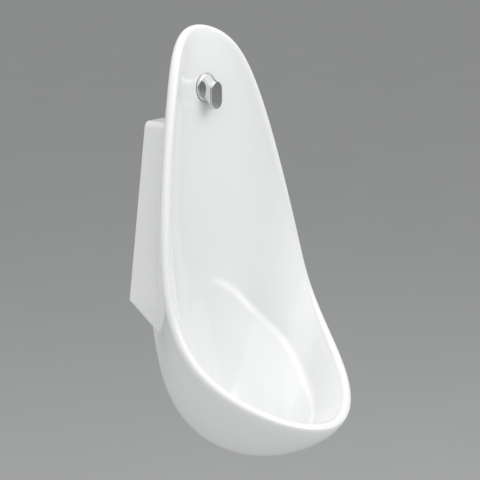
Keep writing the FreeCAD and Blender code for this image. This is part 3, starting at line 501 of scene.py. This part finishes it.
def close_mesh():
    """Weld the mesh being edited, point its faces outward and leave edit mode."""
    bpy.ops.mesh.select_all(action="SELECT")
    bpy.ops.mesh.remove_doubles(threshold=WELD)
    bpy.ops.mesh.normals_make_consistent(inside=False)
    bpy.ops.object.mode_set(mode="OBJECT")


def turned(name, profile):
    """A turned solid about z: a circle drawn out through each radius and height of a closed profile."""
    radius, height = profile[0]
    piece = start_piece(
        name, bpy.ops.mesh.primitive_circle_add, vertices=TURN_SIDES, radius=radius, location=(0, 0, 0))
    bpy.ops.object.mode_set(mode="EDIT")
    bpy.ops.mesh.select_mode(type="VERT")
    bpy.ops.mesh.select_all(action="SELECT")
    bpy.ops.transform.translate(value=(0, 0, height))
    for wide, high in profile[1:] + profile[:1]:
        bpy.ops.mesh.extrude_region_move(TRANSFORM_OT_translate={"value": (0, 0, high - height)})
        bpy.ops.transform.resize(value=(wide / radius, wide / radius, 1), center_override=(0, 0, 0))
        radius, height = wide, high
    close_mesh()
    return piece


def drawn(name, outline, depth, fall=0):
    """A plate with an outline in x and y, drawn out along z, and fall metres towards -y on the way."""
    piece = start_piece(
        name, bpy.ops.mesh.primitive_circle_add,
        vertices=len(outline), radius=1, fill_type="NGON", location=(0, 0, 0))
    for vertex, (across, up) in zip(piece.data.vertices, outline):
        vertex.co = (across, up, 0)
    bpy.ops.object.mode_set(mode="EDIT")
    bpy.ops.mesh.select_all(action="SELECT")
    bpy.ops.mesh.extrude_region_move(TRANSFORM_OT_translate={"value": (0, -fall, depth)})
    close_mesh()
    return piece


def block(name, low, high):
    """A box between two corners."""
    size = Vector(high) - Vector(low)
    middle = (Vector(low) + Vector(high)) / 2
    piece = start_piece(name, bpy.ops.mesh.primitive_cube_add, size=1, location=middle, scale=size)
    bpy.ops.object.transform_apply(location=True, rotation=True, scale=True)
    return piece


def rod(name, radius, depth, middle, turn=UPRIGHT):
    """A round bar to cut a hole with."""
    piece = start_piece(
        name, bpy.ops.mesh.primitive_cylinder_add,
        vertices=2 * ARC_STEPS, radius=radius, depth=depth, location=(0, 0, 0))
    settle(piece, turn, middle)
    return piece


def settle(piece, turn, spot):
    """Turn a piece, put it in place and keep its place in its mesh."""
    select_only(piece)
    piece.matrix_world = Matrix.Translation(spot) @ turn.to_4x4()
    bpy.ops.object.transform_apply(location=True, rotation=True, scale=True)


def soften(piece, width, segments=3):
    """Round every sharp edge."""
    select_only(piece)
    bpy.ops.object.modifier_add(type="BEVEL")
    bevel = piece.modifiers[-1]
    bevel.width = width
    bevel.segments = segments
    bevel.limit_method = "ANGLE"
    bevel.angle_limit = SHARP
    bpy.ops.object.modifier_apply(modifier=bevel.name)


def carve(piece, tool, operation="DIFFERENCE"):
    """Cut a piece with a tool, add the tool to it or keep what both share, and remove the tool."""
    select_only(piece)
    bpy.ops.object.modifier_add(type="BOOLEAN")
    cutter = piece.modifiers[-1]
    cutter.operation = operation
    cutter.solver = "EXACT"
    cutter.object = tool
    bpy.ops.object.modifier_apply(modifier=cutter.name)
    select_only(tool)
    bpy.ops.object.delete()


def pick(piece, mode, elements, wanted):
    """Open a piece for editing with only the wanted ones of its vertices or polygons selected."""
    select_only(piece)
    bpy.ops.object.mode_set(mode="EDIT")
    bpy.ops.mesh.select_mode(type=mode)
    bpy.ops.mesh.select_all(action="DESELECT")
    bpy.ops.object.mode_set(mode="OBJECT")
    for element in getattr(piece.data, elements):
        element.select = wanted(element)
    bpy.ops.object.mode_set(mode="EDIT")


def round_end(piece, level, width, segments):
    """Round the edges of the end of a plate that lies at a height."""
    pick(piece, "VERT", "vertices", lambda vertex: abs(vertex.co.z - level) < TOUCH)
    bpy.ops.mesh.select_mode(type="EDGE")
    bpy.ops.mesh.bevel(offset=width, segments=segments)
    bpy.ops.object.mode_set(mode="OBJECT")


def crown_end(piece, level, inset, rises):
    """Raise the flat end at a height, one inset further in for each rise."""

    def on_end(face):
        return abs(face.center.z - level) < TOUCH and face.normal.z > UPWARD

    pick(piece, "FACE", "polygons", on_end)
    for rise in rises:
        bpy.ops.mesh.inset(thickness=inset, depth=rise)
    bpy.ops.object.mode_set(mode="OBJECT")


def thread_rings(radius, low, high, pitch):
    """Profile points close enough for a thread."""
    count = round((high - low) / pitch * THREAD_STEPS)
    return [(radius, low + (high - low) * step / count) for step in range(count + 1)]


def cut_thread(piece, radius, low, high, pitch, depth):
    """Sink a screw thread into the outside of a turned piece between two heights."""
    for vertex in piece.data.vertices:
        around = math.hypot(vertex.co.x, vertex.co.y)
        inside = min(vertex.co.z - low, high - vertex.co.z)
        if abs(around - radius) > TOUCH or inside <= 0:
            continue
        turn = vertex.co.z / pitch - math.atan2(vertex.co.y, vertex.co.x) / math.tau
        flank = abs(2 * (turn % 1) - 1)
        slope = (1 + 2 * THREAD_FLAT) * flank - THREAD_FLAT
        sunk = depth * min(1, max(0, slope)) * min(1, inside / pitch)
        vertex.co.x *= (radius - sunk) / around
        vertex.co.y *= (radius - sunk) / around


def finish_piece(piece, node, kind, body="urinal", sharp=SHARP):
    """Clean and smooth a finished piece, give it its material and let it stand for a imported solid."""
    select_only(piece)
    bpy.ops.object.mode_set(mode="EDIT")
    bpy.ops.mesh.select_all(action="SELECT")
    bpy.ops.mesh.dissolve_degenerate(threshold=SLIVER)
    close_mesh()
    bpy.ops.object.shade_smooth_by_angle(angle=sharp)
    paint(piece, material_for(kind))
    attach(piece, body)
    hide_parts(node)


def arc(middle, radius, start, end, steps):
    """Points on a circle between two angles in degrees."""
    turns = (math.radians(start + (end - start) * step / steps) for step in range(steps + 1))
    return [(middle[0] + radius * math.cos(turn), middle[1] + radius * math.sin(turn)) for turn in turns]


def oblong(width, height):
    """Outline with two straight sides and two half-round ends."""
    radius = width / 2
    middle = height / 2 - radius
    return arc((0, middle), radius, 0, 180, ARC_STEPS) + arc((0, -middle), radius, 180, 360, ARC_STEPS)


def size_of(node):
    """Width, depth and height of a solid."""
    low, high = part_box(node)
    return Vector(high) - Vector(low)


def middle_of(node):
    """Middle of a solid's box."""
    low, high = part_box(node)
    return (Vector(low) + Vector(high)) / 2


def reach_of(node):
    """Reach of a solid's back and front from the wall."""
    low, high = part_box(node)
    return -high[1], -low[1]


def heights_of(node):
    """Height of a solid's foot and top."""
    low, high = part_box(node)
    return low[2], high[2]


def ring(name, outer, inner, low, high, edge):
    """A flat ring with rounded edges."""
    piece = turned(name, [(inner, low), (outer, low), (outer, high), (inner, high)])
    soften(piece, edge)
    return piece


def hex_nut(name, flats, bore, low, high):
    """A six-sided nut with turned corners and a bevelled bore."""
    corner = flats / math.sqrt(3)
    piece = start_piece(
        name, bpy.ops.mesh.primitive_cylinder_add, vertices=6, radius=corner, depth=2 * (high - low),
        location=(0, 0, (low + high) / 2), rotation=(0, 0, math.radians(30)))
    bpy.ops.object.transform_apply(location=True, rotation=True, scale=True)
    cut = corner - flats / 2 + NUT_SHOULDER
    past = corner + cut * NUT_MARGIN
    fall = cut * (1 + NUT_MARGIN) * math.tan(NUT_SLOPE)
    barrel = turned("nut_barrel", [
        (bore, low + NUT_BEVEL),
        (bore + NUT_BEVEL, low),
        (corner - cut, low),
        (past, low + fall),
        (past, high - fall),
        (corner - cut, high),
        (bore + NUT_BEVEL, high),
        (bore, high - NUT_BEVEL),
    ])
    carve(piece, barrel, "INTERSECT")
    return piece


# Ceramic

@operate
class URINAL_OT_glaze_ceramic(bpy.types.Operator):
    """Glaze the casting"""

    bl_idname = "urinal.glaze_ceramic"
    bl_label = "Glaze the casting"

    def execute(self, context):
        paint(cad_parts["ceramic_body"], material_for("glaze"))
        return {"FINISHED"}


# Flush spreader, on an axis out of the wall

def spreader_axis():
    """Where the spreader's axis leaves the wall."""
    return Vector((0, 0, middle_of("spreader_flange").z))


def make_flange(fit):
    """Round plate with a rolled edge and a slight dome."""
    radius = size_of("spreader_flange").x / 2
    back, front = reach_of("spreader_flange")
    bore = fit.shank_radius + fit.slip_gap
    roll = fit.flange_round
    rolled = arc((radius - roll, front - roll), roll, 0, ROLL_TURN, ROLL_STEPS)
    profile = [(bore, back), (radius - fit.edge, back), (radius, back + fit.edge)] + rolled
    piece = turned("flange_plate", profile + [(bore + fit.edge, front), (bore, front - fit.edge)])
    settle(piece, OUTWARD, spreader_axis())
    finish_piece(piece, "spreader_flange", "chrome")


def make_shank(fit):
    """Threaded shank that starts a little inside the hood, with a waterway and a relief groove."""
    end = reach_of("spreader_body")[0]
    front = reach_of("spreader_flange")[1] + fit.hood_wall / 3
    groove_end = reach_of("spreader_lock_nut")[0]
    groove = groove_end - fit.relief_width
    radius = fit.shank_radius
    bore = fit.shank_bore
    sunk = radius - fit.relief_depth
    lead = fit.shank_depth
    profile = [(bore, end + lead / 2), (bore + lead / 2, end), (radius - lead, end)]
    profile += thread_rings(radius, end + lead, groove, fit.shank_pitch)
    profile += [(sunk, groove), (sunk, groove_end), (radius, groove_end), (radius, front), (bore, front)]
    piece = turned("shank", profile)
    cut_thread(piece, radius, end + lead, groove, fit.shank_pitch, fit.shank_depth)
    return piece


def make_hood(fit):
    """Sloping oblong hood with its water chamber, its spray opening and the threaded shank."""
    size = size_of("spreader_face")
    back = reach_of("spreader_flange")[1]
    front = reach_of("spreader_body")[1]
    axis = spreader_axis()
    fall = axis.z - middle_of("spreader_face").z
    piece = drawn("hood", oblong(size.x, size.z), front - back, fall)
    soften(piece, 2 * fit.edge)
    wall = fit.hood_wall
    chamber = drawn("chamber", oblong(size.x - 2 * wall, size.z - 2 * wall - fall), front - back)
    settle(chamber, UPRIGHT, (0, -fall / 2, wall))
    carve(piece, chamber)
    shank = make_shank(fit)
    settle(shank, UPRIGHT, (0, 0, -back))
    carve(piece, shank, "UNION")
    waterway = rod("waterway", fit.shank_bore - fit.slip_gap, 4 * wall, (0, 0, 0))
    carve(piece, waterway)
    settle(piece, OUTWARD, axis + Vector((0, -back, 0)))
    low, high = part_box("spray_insert")
    room = Vector((JET_ROOM, JET_ROOM, 0))
    slot = block("spray_slot", Vector(low) - room, Vector(high) + room)
    carve(piece, slot)
    finish_piece(piece, "spreader_body", "chrome")


def make_face(fit):
    """Oblong plate with a rounded edge, a crowned front and a spigot into the hood."""
    size = size_of("spreader_face")
    back, front = reach_of("spreader_face")
    crown = fit.face_crown
    plate = fit.face_plate - crown
    fall = spreader_axis().z - middle_of("spreader_face").z
    piece = drawn("face_plate", oblong(size.x, size.z), plate)
    round_end(piece, plate, fit.face_round, BEND_STEPS)
    inset = (size.x / 2 - fit.face_round) / (len(CROWN_RISES) + 1)
    crown_end(piece, plate, inset, [crown * share for share in CROWN_RISES])
    wall = fit.hood_wall + fit.slip_gap
    opening = oblong(size.x - 2 * wall, size.z - 2 * wall - fall)
    spigot = drawn("spigot", opening, front - back - plate / 2 - crown)
    settle(spigot, UPRIGHT, (0, fall / 2, back - front + fit.face_plate))
    carve(piece, spigot, "UNION")
    settle(piece, OUTWARD, (0, fit.face_plate - front, middle_of("spreader_face").z))
    finish_piece(piece, "spreader_face", "chrome")


def make_face_seal(fit):
    """Thin soft ring between hood and face plate."""
    size = size_of("face_seal")
    back, front = reach_of("face_seal")
    face = size_of("spreader_face")
    fall = spreader_axis().z - middle_of("spreader_face").z
    piece = drawn("seal_ring", oblong(size.x, size.z), front - back)
    wall = fit.hood_wall
    opening = drawn("seal_opening", oblong(face.x - 2 * wall, face.z - 2 * wall - fall), 3 * (front - back))
    settle(opening, UPRIGHT, (0, fall / 2, back - front))
    carve(piece, opening)
    soften(piece, fit.edge / 2, 2)
    settle(piece, OUTWARD, (0, -back, middle_of("face_seal").z))
    finish_piece(piece, "face_seal", "rubber")


def make_spray_insert(fit):
    """Jet block under the hood."""
    low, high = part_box("spray_insert")
    middle = middle_of("spray_insert")
    piece = block("jet_block", low, high)
    soften(piece, fit.edge)
    for step in (-1, 0, 1):
        spot = middle + Vector((step * fit.jet_pitch, 0, 0))
        carve(piece, rod("jet", fit.jet_radius, 2 * (high[2] - low[2]), spot))
    finish_piece(piece, "spray_insert", "plastic")


def make_bush(fit):
    """Stepped rubber bush in the inlet hole."""
    radius = size_of("back_bush").x / 2
    back, front = reach_of("back_bush")
    bore = fit.shank_radius + fit.slip_gap
    step = back + fit.bush_collar
    piece = turned("bush", [
        (bore, back),
        (radius, back),
        (radius, step),
        (fit.bush_spigot, step),
        (fit.bush_spigot, front),
        (bore, front),
    ])
    soften(piece, fit.edge)
    settle(piece, OUTWARD, spreader_axis())
    finish_piece(piece, "back_bush", "rubber")


@operate
class URINAL_OT_add_spreader(bpy.types.Operator):
    """Add the flush spreader: flange, hood with its shank, face plate and jets"""

    bl_idname = "urinal.add_spreader"
    bl_label = "Add the spreader"

    def execute(self, context):
        fit = context.scene.urinal_fittings
        make_flange(fit)
        make_hood(fit)
        make_face(fit)
        make_face_seal(fit)
        make_spray_insert(fit)
        return {"FINISHED"}


@operate
class URINAL_OT_add_spreader_fixings(bpy.types.Operator):
    """Add the gasket, bush, washer and nut that hold the spreader"""

    bl_idname = "urinal.add_spreader_fixings"
    bl_label = "Add the spreader's fixings"

    def execute(self, context):
        fit = context.scene.urinal_fittings
        bore = fit.shank_radius + fit.slip_gap
        for node, kind in (("spreader_gasket", "rubber"), ("back_washer", "steel")):
            piece = ring(f"{node}_ring", size_of(node).x / 2, bore, *reach_of(node), fit.edge)
            settle(piece, OUTWARD, spreader_axis())
            finish_piece(piece, node, kind)
        make_bush(fit)
        back, front = reach_of("spreader_lock_nut")
        nut = hex_nut("shank_nut", size_of("spreader_lock_nut").z, fit.shank_radius, back, front)
        settle(nut, OUTWARD, spreader_axis())
        finish_piece(nut, "spreader_lock_nut", "brass", sharp=NUT_SHARP)
        return {"FINISHED"}


# Waste outlet, on an upright axis

def waste_axis():
    """Where the waste's axis crosses height zero."""
    middle = middle_of("waste_body")
    return Vector((middle.x, middle.y, 0))


def make_waste(fit):
    """Flanged outlet with a seat for the grate and a threaded tail."""
    foot, top = heights_of("waste_body")
    flange = size_of("waste_body").x / 2
    socket = size_of("waste_grate").x / 2 + fit.slip_gap
    groove_end = heights_of("waste_lock_nut")[0]
    groove = groove_end - fit.relief_width
    neck = top - fit.waste_flange
    seat = top - fit.grate_sink
    radius = fit.tail_radius
    bore = fit.tail_bore
    sunk = radius - fit.relief_depth
    lead = fit.tail_depth
    edge = fit.edge
    profile = [(bore, foot + lead / 2), (bore + lead / 2, foot), (radius - lead, foot)]
    profile += thread_rings(radius, foot + lead, groove, fit.tail_pitch)
    profile += [(sunk, groove), (sunk, groove_end), (radius, groove_end)]
    profile += [(radius, neck), (flange - edge, neck)]
    profile += arc((flange - 2 * edge, neck + 2 * edge), 2 * edge, -90, 0, BEND_STEPS)
    profile += arc((flange - 3 * edge, top - 3 * edge), 3 * edge, 0, 90, BEND_STEPS)
    profile += [(socket + edge, top), (socket, top - edge), (socket, seat)]
    profile += [(bore + edge, seat), (bore, seat - edge)]
    piece = turned("waste_outlet", profile)
    cut_thread(piece, radius, foot + lead, groove, fit.tail_pitch, fit.tail_depth)
    settle(piece, UPRIGHT, waste_axis())
    finish_piece(piece, "waste_body", "chrome")


def make_grate(fit):
    """Loose strainer: a low cone with holes and a skirt that drops into the outlet."""
    radius = size_of("waste_grate").x / 2
    foot = heights_of("waste_grate")[0]
    seat = foot + fit.grate_skirt
    outer = fit.tail_bore - fit.slip_gap
    inner = outer - fit.grate_wall
    edge = fit.edge

    def under(wide):
        return seat + fit.grate_rise * (1 - wide / radius)

    rim = 2 * edge
    hole = fit.lift_hole
    slope = hole + edge - radius + rim
    steps = [radius - rim + slope * step / ARC_STEPS for step in range(ARC_STEPS + 1)]
    profile = [(inner, foot), (outer - edge, foot), (outer, foot + edge), (outer, seat)]
    profile += [(radius - edge, seat), (radius, seat + edge), (radius, seat + fit.grate_thick - rim)]
    profile += [(wide, under(wide) + fit.grate_thick) for wide in steps]
    profile += [(hole, under(hole) + fit.grate_thick - edge), (hole, under(hole)), (inner, under(inner))]
    piece = turned("strainer", profile)
    settle(piece, UPRIGHT, waste_axis())
    for index in range(fit.grate_holes):
        turn = math.tau * index / fit.grate_holes
        spot = waste_axis() + Vector((math.cos(turn) * fit.grate_ring, math.sin(turn) * fit.grate_ring, seat))
        carve(piece, rod("grate_hole", fit.grate_hole, fit.grate_skirt, spot))
    finish_piece(piece, "waste_grate", "chrome", body="grate")


def make_cone_gasket(fit):
    """Soft ring that tapers towards the bowl."""
    node = "waste_cone_gasket"
    radius = size_of(node).x / 2
    low, high = heights_of(node)
    bore = fit.tail_radius + fit.slip_gap
    taper = high - low
    piece = turned("cone_ring", [
        (bore, low),
        (radius, low),
        (radius, low + taper / 3),
        (radius - taper, high),
        (bore, high),
    ])
    soften(piece, fit.edge)
    settle(piece, UPRIGHT, waste_axis())
    finish_piece(piece, node, "rubber")


@operate
class URINAL_OT_add_waste(bpy.types.Operator):
    """Add the waste outlet and the grate that lies in it"""

    bl_idname = "urinal.add_waste"
    bl_label = "Add the waste"

    def execute(self, context):
        fit = context.scene.urinal_fittings
        make_waste(fit)
        make_grate(fit)
        return {"FINISHED"}


@operate
class URINAL_OT_add_waste_fixings(bpy.types.Operator):
    """Add the gaskets, washer and nut on the waste's tail"""

    bl_idname = "urinal.add_waste_fixings"
    bl_label = "Add the waste's fixings"

    def execute(self, context):
        fit = context.scene.urinal_fittings
        bore = fit.tail_radius + fit.slip_gap
        for node, kind in (("waste_top_gasket", "rubber"), ("waste_slip_washer", "plastic")):
            piece = ring(f"{node}_ring", size_of(node).x / 2, bore, *heights_of(node), fit.edge)
            settle(piece, UPRIGHT, waste_axis())
            finish_piece(piece, node, kind)
        make_cone_gasket(fit)
        low, high = heights_of("waste_lock_nut")
        nut = hex_nut("tail_nut", size_of("waste_lock_nut").y, fit.tail_radius, low, high)
        settle(nut, UPRIGHT, waste_axis())
        finish_piece(nut, "waste_lock_nut", "brass", sharp=NUT_SHARP)
        return {"FINISHED"}


# Wall hangers

def hanger_outline(fit, foot, top, arm):
    """Side view of a bent steel hook: reach and height."""
    plate = fit.hanger_plate
    inner = fit.hanger_bend
    outer = inner + plate
    shelf = top - fit.hanger_tongue
    first = (outer, shelf - outer)
    second = (arm - outer, shelf - plate + outer)
    return (
        [(0, foot), (plate, foot)]
        + arc(first, inner, 180, 90, BEND_STEPS)
        + arc(second, outer, -90, 0, BEND_STEPS)
        + [(arm, top), (arm - plate, top)]
        + arc(second, inner, 0, -90, BEND_STEPS)
        + arc(first, outer, 90, 180, BEND_STEPS)
    )


def make_hanger(fit, node):
    """Bent steel hook with two bolt holes."""
    foot, top = heights_of(node)
    middle = middle_of(node)
    width = size_of(node).x
    piece = drawn(f"{node}_strap", hanger_outline(fit, foot, top, size_of(node).y), width)
    settle(piece, SIDEWAYS, (middle.x + width / 2, 0, 0))
    for side in (-1, 1):
        spot = (middle.x, -fit.hanger_plate / 2, side * fit.hanger_holes / 2)
        carve(piece, rod("bolt_hole", fit.hanger_hole, 2 * fit.hanger_plate, spot, OUTWARD))
    soften(piece, fit.edge, 2)
    finish_piece(piece, node, "steel")


def make_pad(fit, node):
    """Ribbed rubber pad on a hook's arm."""
    size = size_of(node)
    middle = middle_of(node)
    half = size.x / 2
    top = size.z / 2
    pitch = size.x / fit.pad_ribs
    slope = pitch / 5
    outline = [(-half, -top), (half, -top)]
    for rib in range(fit.pad_ribs):
        right = half - rib * pitch
        outline += [(right, top - fit.pad_groove), (right - slope, top), (right - pitch + slope, top)]
    outline.append((-half, top - fit.pad_groove))
    piece = drawn(f"{node}_ribs", outline, size.y)
    settle(piece, OUTWARD, middle + Vector((0, size.y / 2, 0)))
    finish_piece(piece, node, "rubber")


@operate
class URINAL_OT_add_hangers(bpy.types.Operator):
    """Add the two wall hooks and their pads"""

    bl_idname = "urinal.add_hangers"
    bl_label = "Add the hangers"

    def execute(self, context):
        fit = context.scene.urinal_fittings
        for side in ("left", "right"):
            make_hanger(fit, f"hanger_bracket_{side}")
            make_pad(fit, f"hanger_pad_{side}")
        return {"FINISHED"}


# Stage

def seen_rays(tree):
    """1 for what the camera, a mirror or glass sees, and 0 for the light that falls on things."""
    rays = add(tree, "ShaderNodeLightPath")
    seen = rays.outputs["Is Camera Ray"]
    for other in ("Is Glossy Ray", "Is Transmission Ray"):
        seen = reckon(tree, "MAXIMUM", seen, rays.outputs[other])
    return seen


def floor_material(stage):
    """Pale even floor, which throws back a lighter colour than is seen on it."""
    tint = tuple(stage.backdrop)
    bounce = tuple(stage.bounce)
    material, tree, shader = start_material("pale_floor", tint)
    cloud = noise(tree, place_of(tree), scale=3)
    seen = shades(tree, cloud, darker(tint, share=0.98), tint)
    thrown = shades(tree, cloud, darker(bounce, share=0.98), bounce)
    tree.links.new(blend(tree, "RGBA", seen_rays(tree), thrown, seen), shader.inputs["Base Color"])
    shader.inputs["Roughness"].default_value = FLOOR_ROUGHNESS
    return material


def make_floor(stage):
    """A wide floor below the urinal."""
    level = SOLIDS_BOX[0].z - stage.floor_drop
    floor = start_piece(
        "floor", bpy.ops.mesh.primitive_plane_add, size=stage.floor_size, location=(0, 0, level))
    bpy.ops.object.transform_apply(location=True)
    paint(floor, floor_material(stage))


def make_sky(stage):
    """Even light from all sides; the camera and mirrors see the backdrop's colour instead."""
    world = bpy.data.worlds.new("studio_sky")
    world.use_nodes = True
    bpy.context.scene.world = world
    tree = world.node_tree
    light = tree.nodes["Background"]
    light.inputs["Color"].default_value = (1, 1, 1, 1)
    light.inputs["Strength"].default_value = stage.sky_level
    seen = add(tree, "ShaderNodeBackground")
    seen.inputs["Color"].default_value = (*stage.backdrop, 1)
    seen.inputs["Strength"].default_value = stage.sky_level
    choice = add(tree, "ShaderNodeMixShader")
    tree.links.new(seen_rays(tree), choice.inputs["Fac"])
    tree.links.new(light.outputs["Background"], choice.inputs[1])
    tree.links.new(seen.outputs["Background"], choice.inputs[2])
    tree.links.new(choice.outputs["Shader"], tree.nodes["World Output"].inputs["Surface"])


def add_lamp(name, spot, target, size, power):
    """A soft square lamp that faces a target."""
    bpy.ops.object.light_add(type="AREA", location=spot)
    lamp = bpy.context.active_object
    lamp.name = name
    lamp.data.shape = "SQUARE"
    lamp.data.size = size
    lamp.data.energy = power
    aim = Vector(target) - Vector(spot)
    lamp.rotation_euler = aim.to_track_quat("-Z", "Y").to_euler()


def make_lamps(stage):
    """A wide soft lamp overhead, which faces straight down, and a smaller lamp in front."""
    above = Vector(stage.ceiling_place)
    below = above - Vector((0, 0, 1))
    add_lamp("ceiling_lamp", above, below, stage.ceiling_size, stage.ceiling_power)
    add_lamp("key_lamp", stage.key_place, stage.lamp_target, stage.key_size, stage.key_power)


def make_camera(stage):
    """Camera at the photograph's place."""
    bpy.ops.object.camera_add(location=stage.camera_place, rotation=stage.camera_turn)
    camera = bpy.context.active_object
    camera.name = "camera"
    camera.data.lens = stage.camera_lens
    camera.data.sensor_width = SENSOR_WIDTH
    bpy.context.scene.camera = camera


@operate
class URINAL_OT_set_stage(bpy.types.Operator):
    """Add the floor, the sky, the lamps and the camera"""

    bl_idname = "urinal.set_stage"
    bl_label = "Set the stage"

    def execute(self, context):
        stage = context.scene.urinal_stage
        context.scene.view_settings.view_transform = "Standard"
        make_floor(stage)
        make_sky(stage)
        make_lamps(stage)
        make_camera(stage)
        return {"FINISHED"}


class URINAL_PT_panel(bpy.types.Panel):
    """Sizes, colours and steps of the urinal"""

    bl_idname = "URINAL_PT_panel"
    bl_label = "Urinal"
    bl_space_type = "VIEW_3D"
    bl_region_type = "UI"
    bl_category = "Urinal"

    def draw(self, context):
        scene = context.scene
        for group in (scene.urinal_finish, scene.urinal_fittings, scene.urinal_stage):
            for name in group.__annotations__:
                self.layout.prop(group, name)
        for kind in OPERATORS:
            self.layout.operator(kind.bl_idname)


GROUPS = {"urinal_finish": UrinalFinish, "urinal_fittings": UrinalFittings, "urinal_stage": UrinalStage}


def register():
    """Register the groups, the operators and the panel."""
    for kind in (*GROUPS.values(), *OPERATORS, URINAL_PT_panel):
        bpy.utils.register_class(kind)
    for name, kind in GROUPS.items():
        setattr(bpy.types.Scene, name, bpy.props.PointerProperty(type=kind))


def unregister():
    """Undo register."""
    for name in GROUPS:
        delattr(bpy.types.Scene, name)
    for kind in (URINAL_PT_panel, *reversed(OPERATORS), *GROUPS.values()):
        bpy.utils.unregister_class(kind)


def main():
    """Register the groups, operators and panel, then make every piece and set the stage."""
    register()
    bpy.ops.urinal.glaze_ceramic()
    bpy.ops.urinal.add_spreader()
    bpy.ops.urinal.add_spreader_fixings()
    bpy.ops.urinal.add_waste()
    bpy.ops.urinal.add_waste_fixings()
    bpy.ops.urinal.add_hangers()
    bpy.ops.urinal.set_stage()


if __name__ == "__main__":
    main()
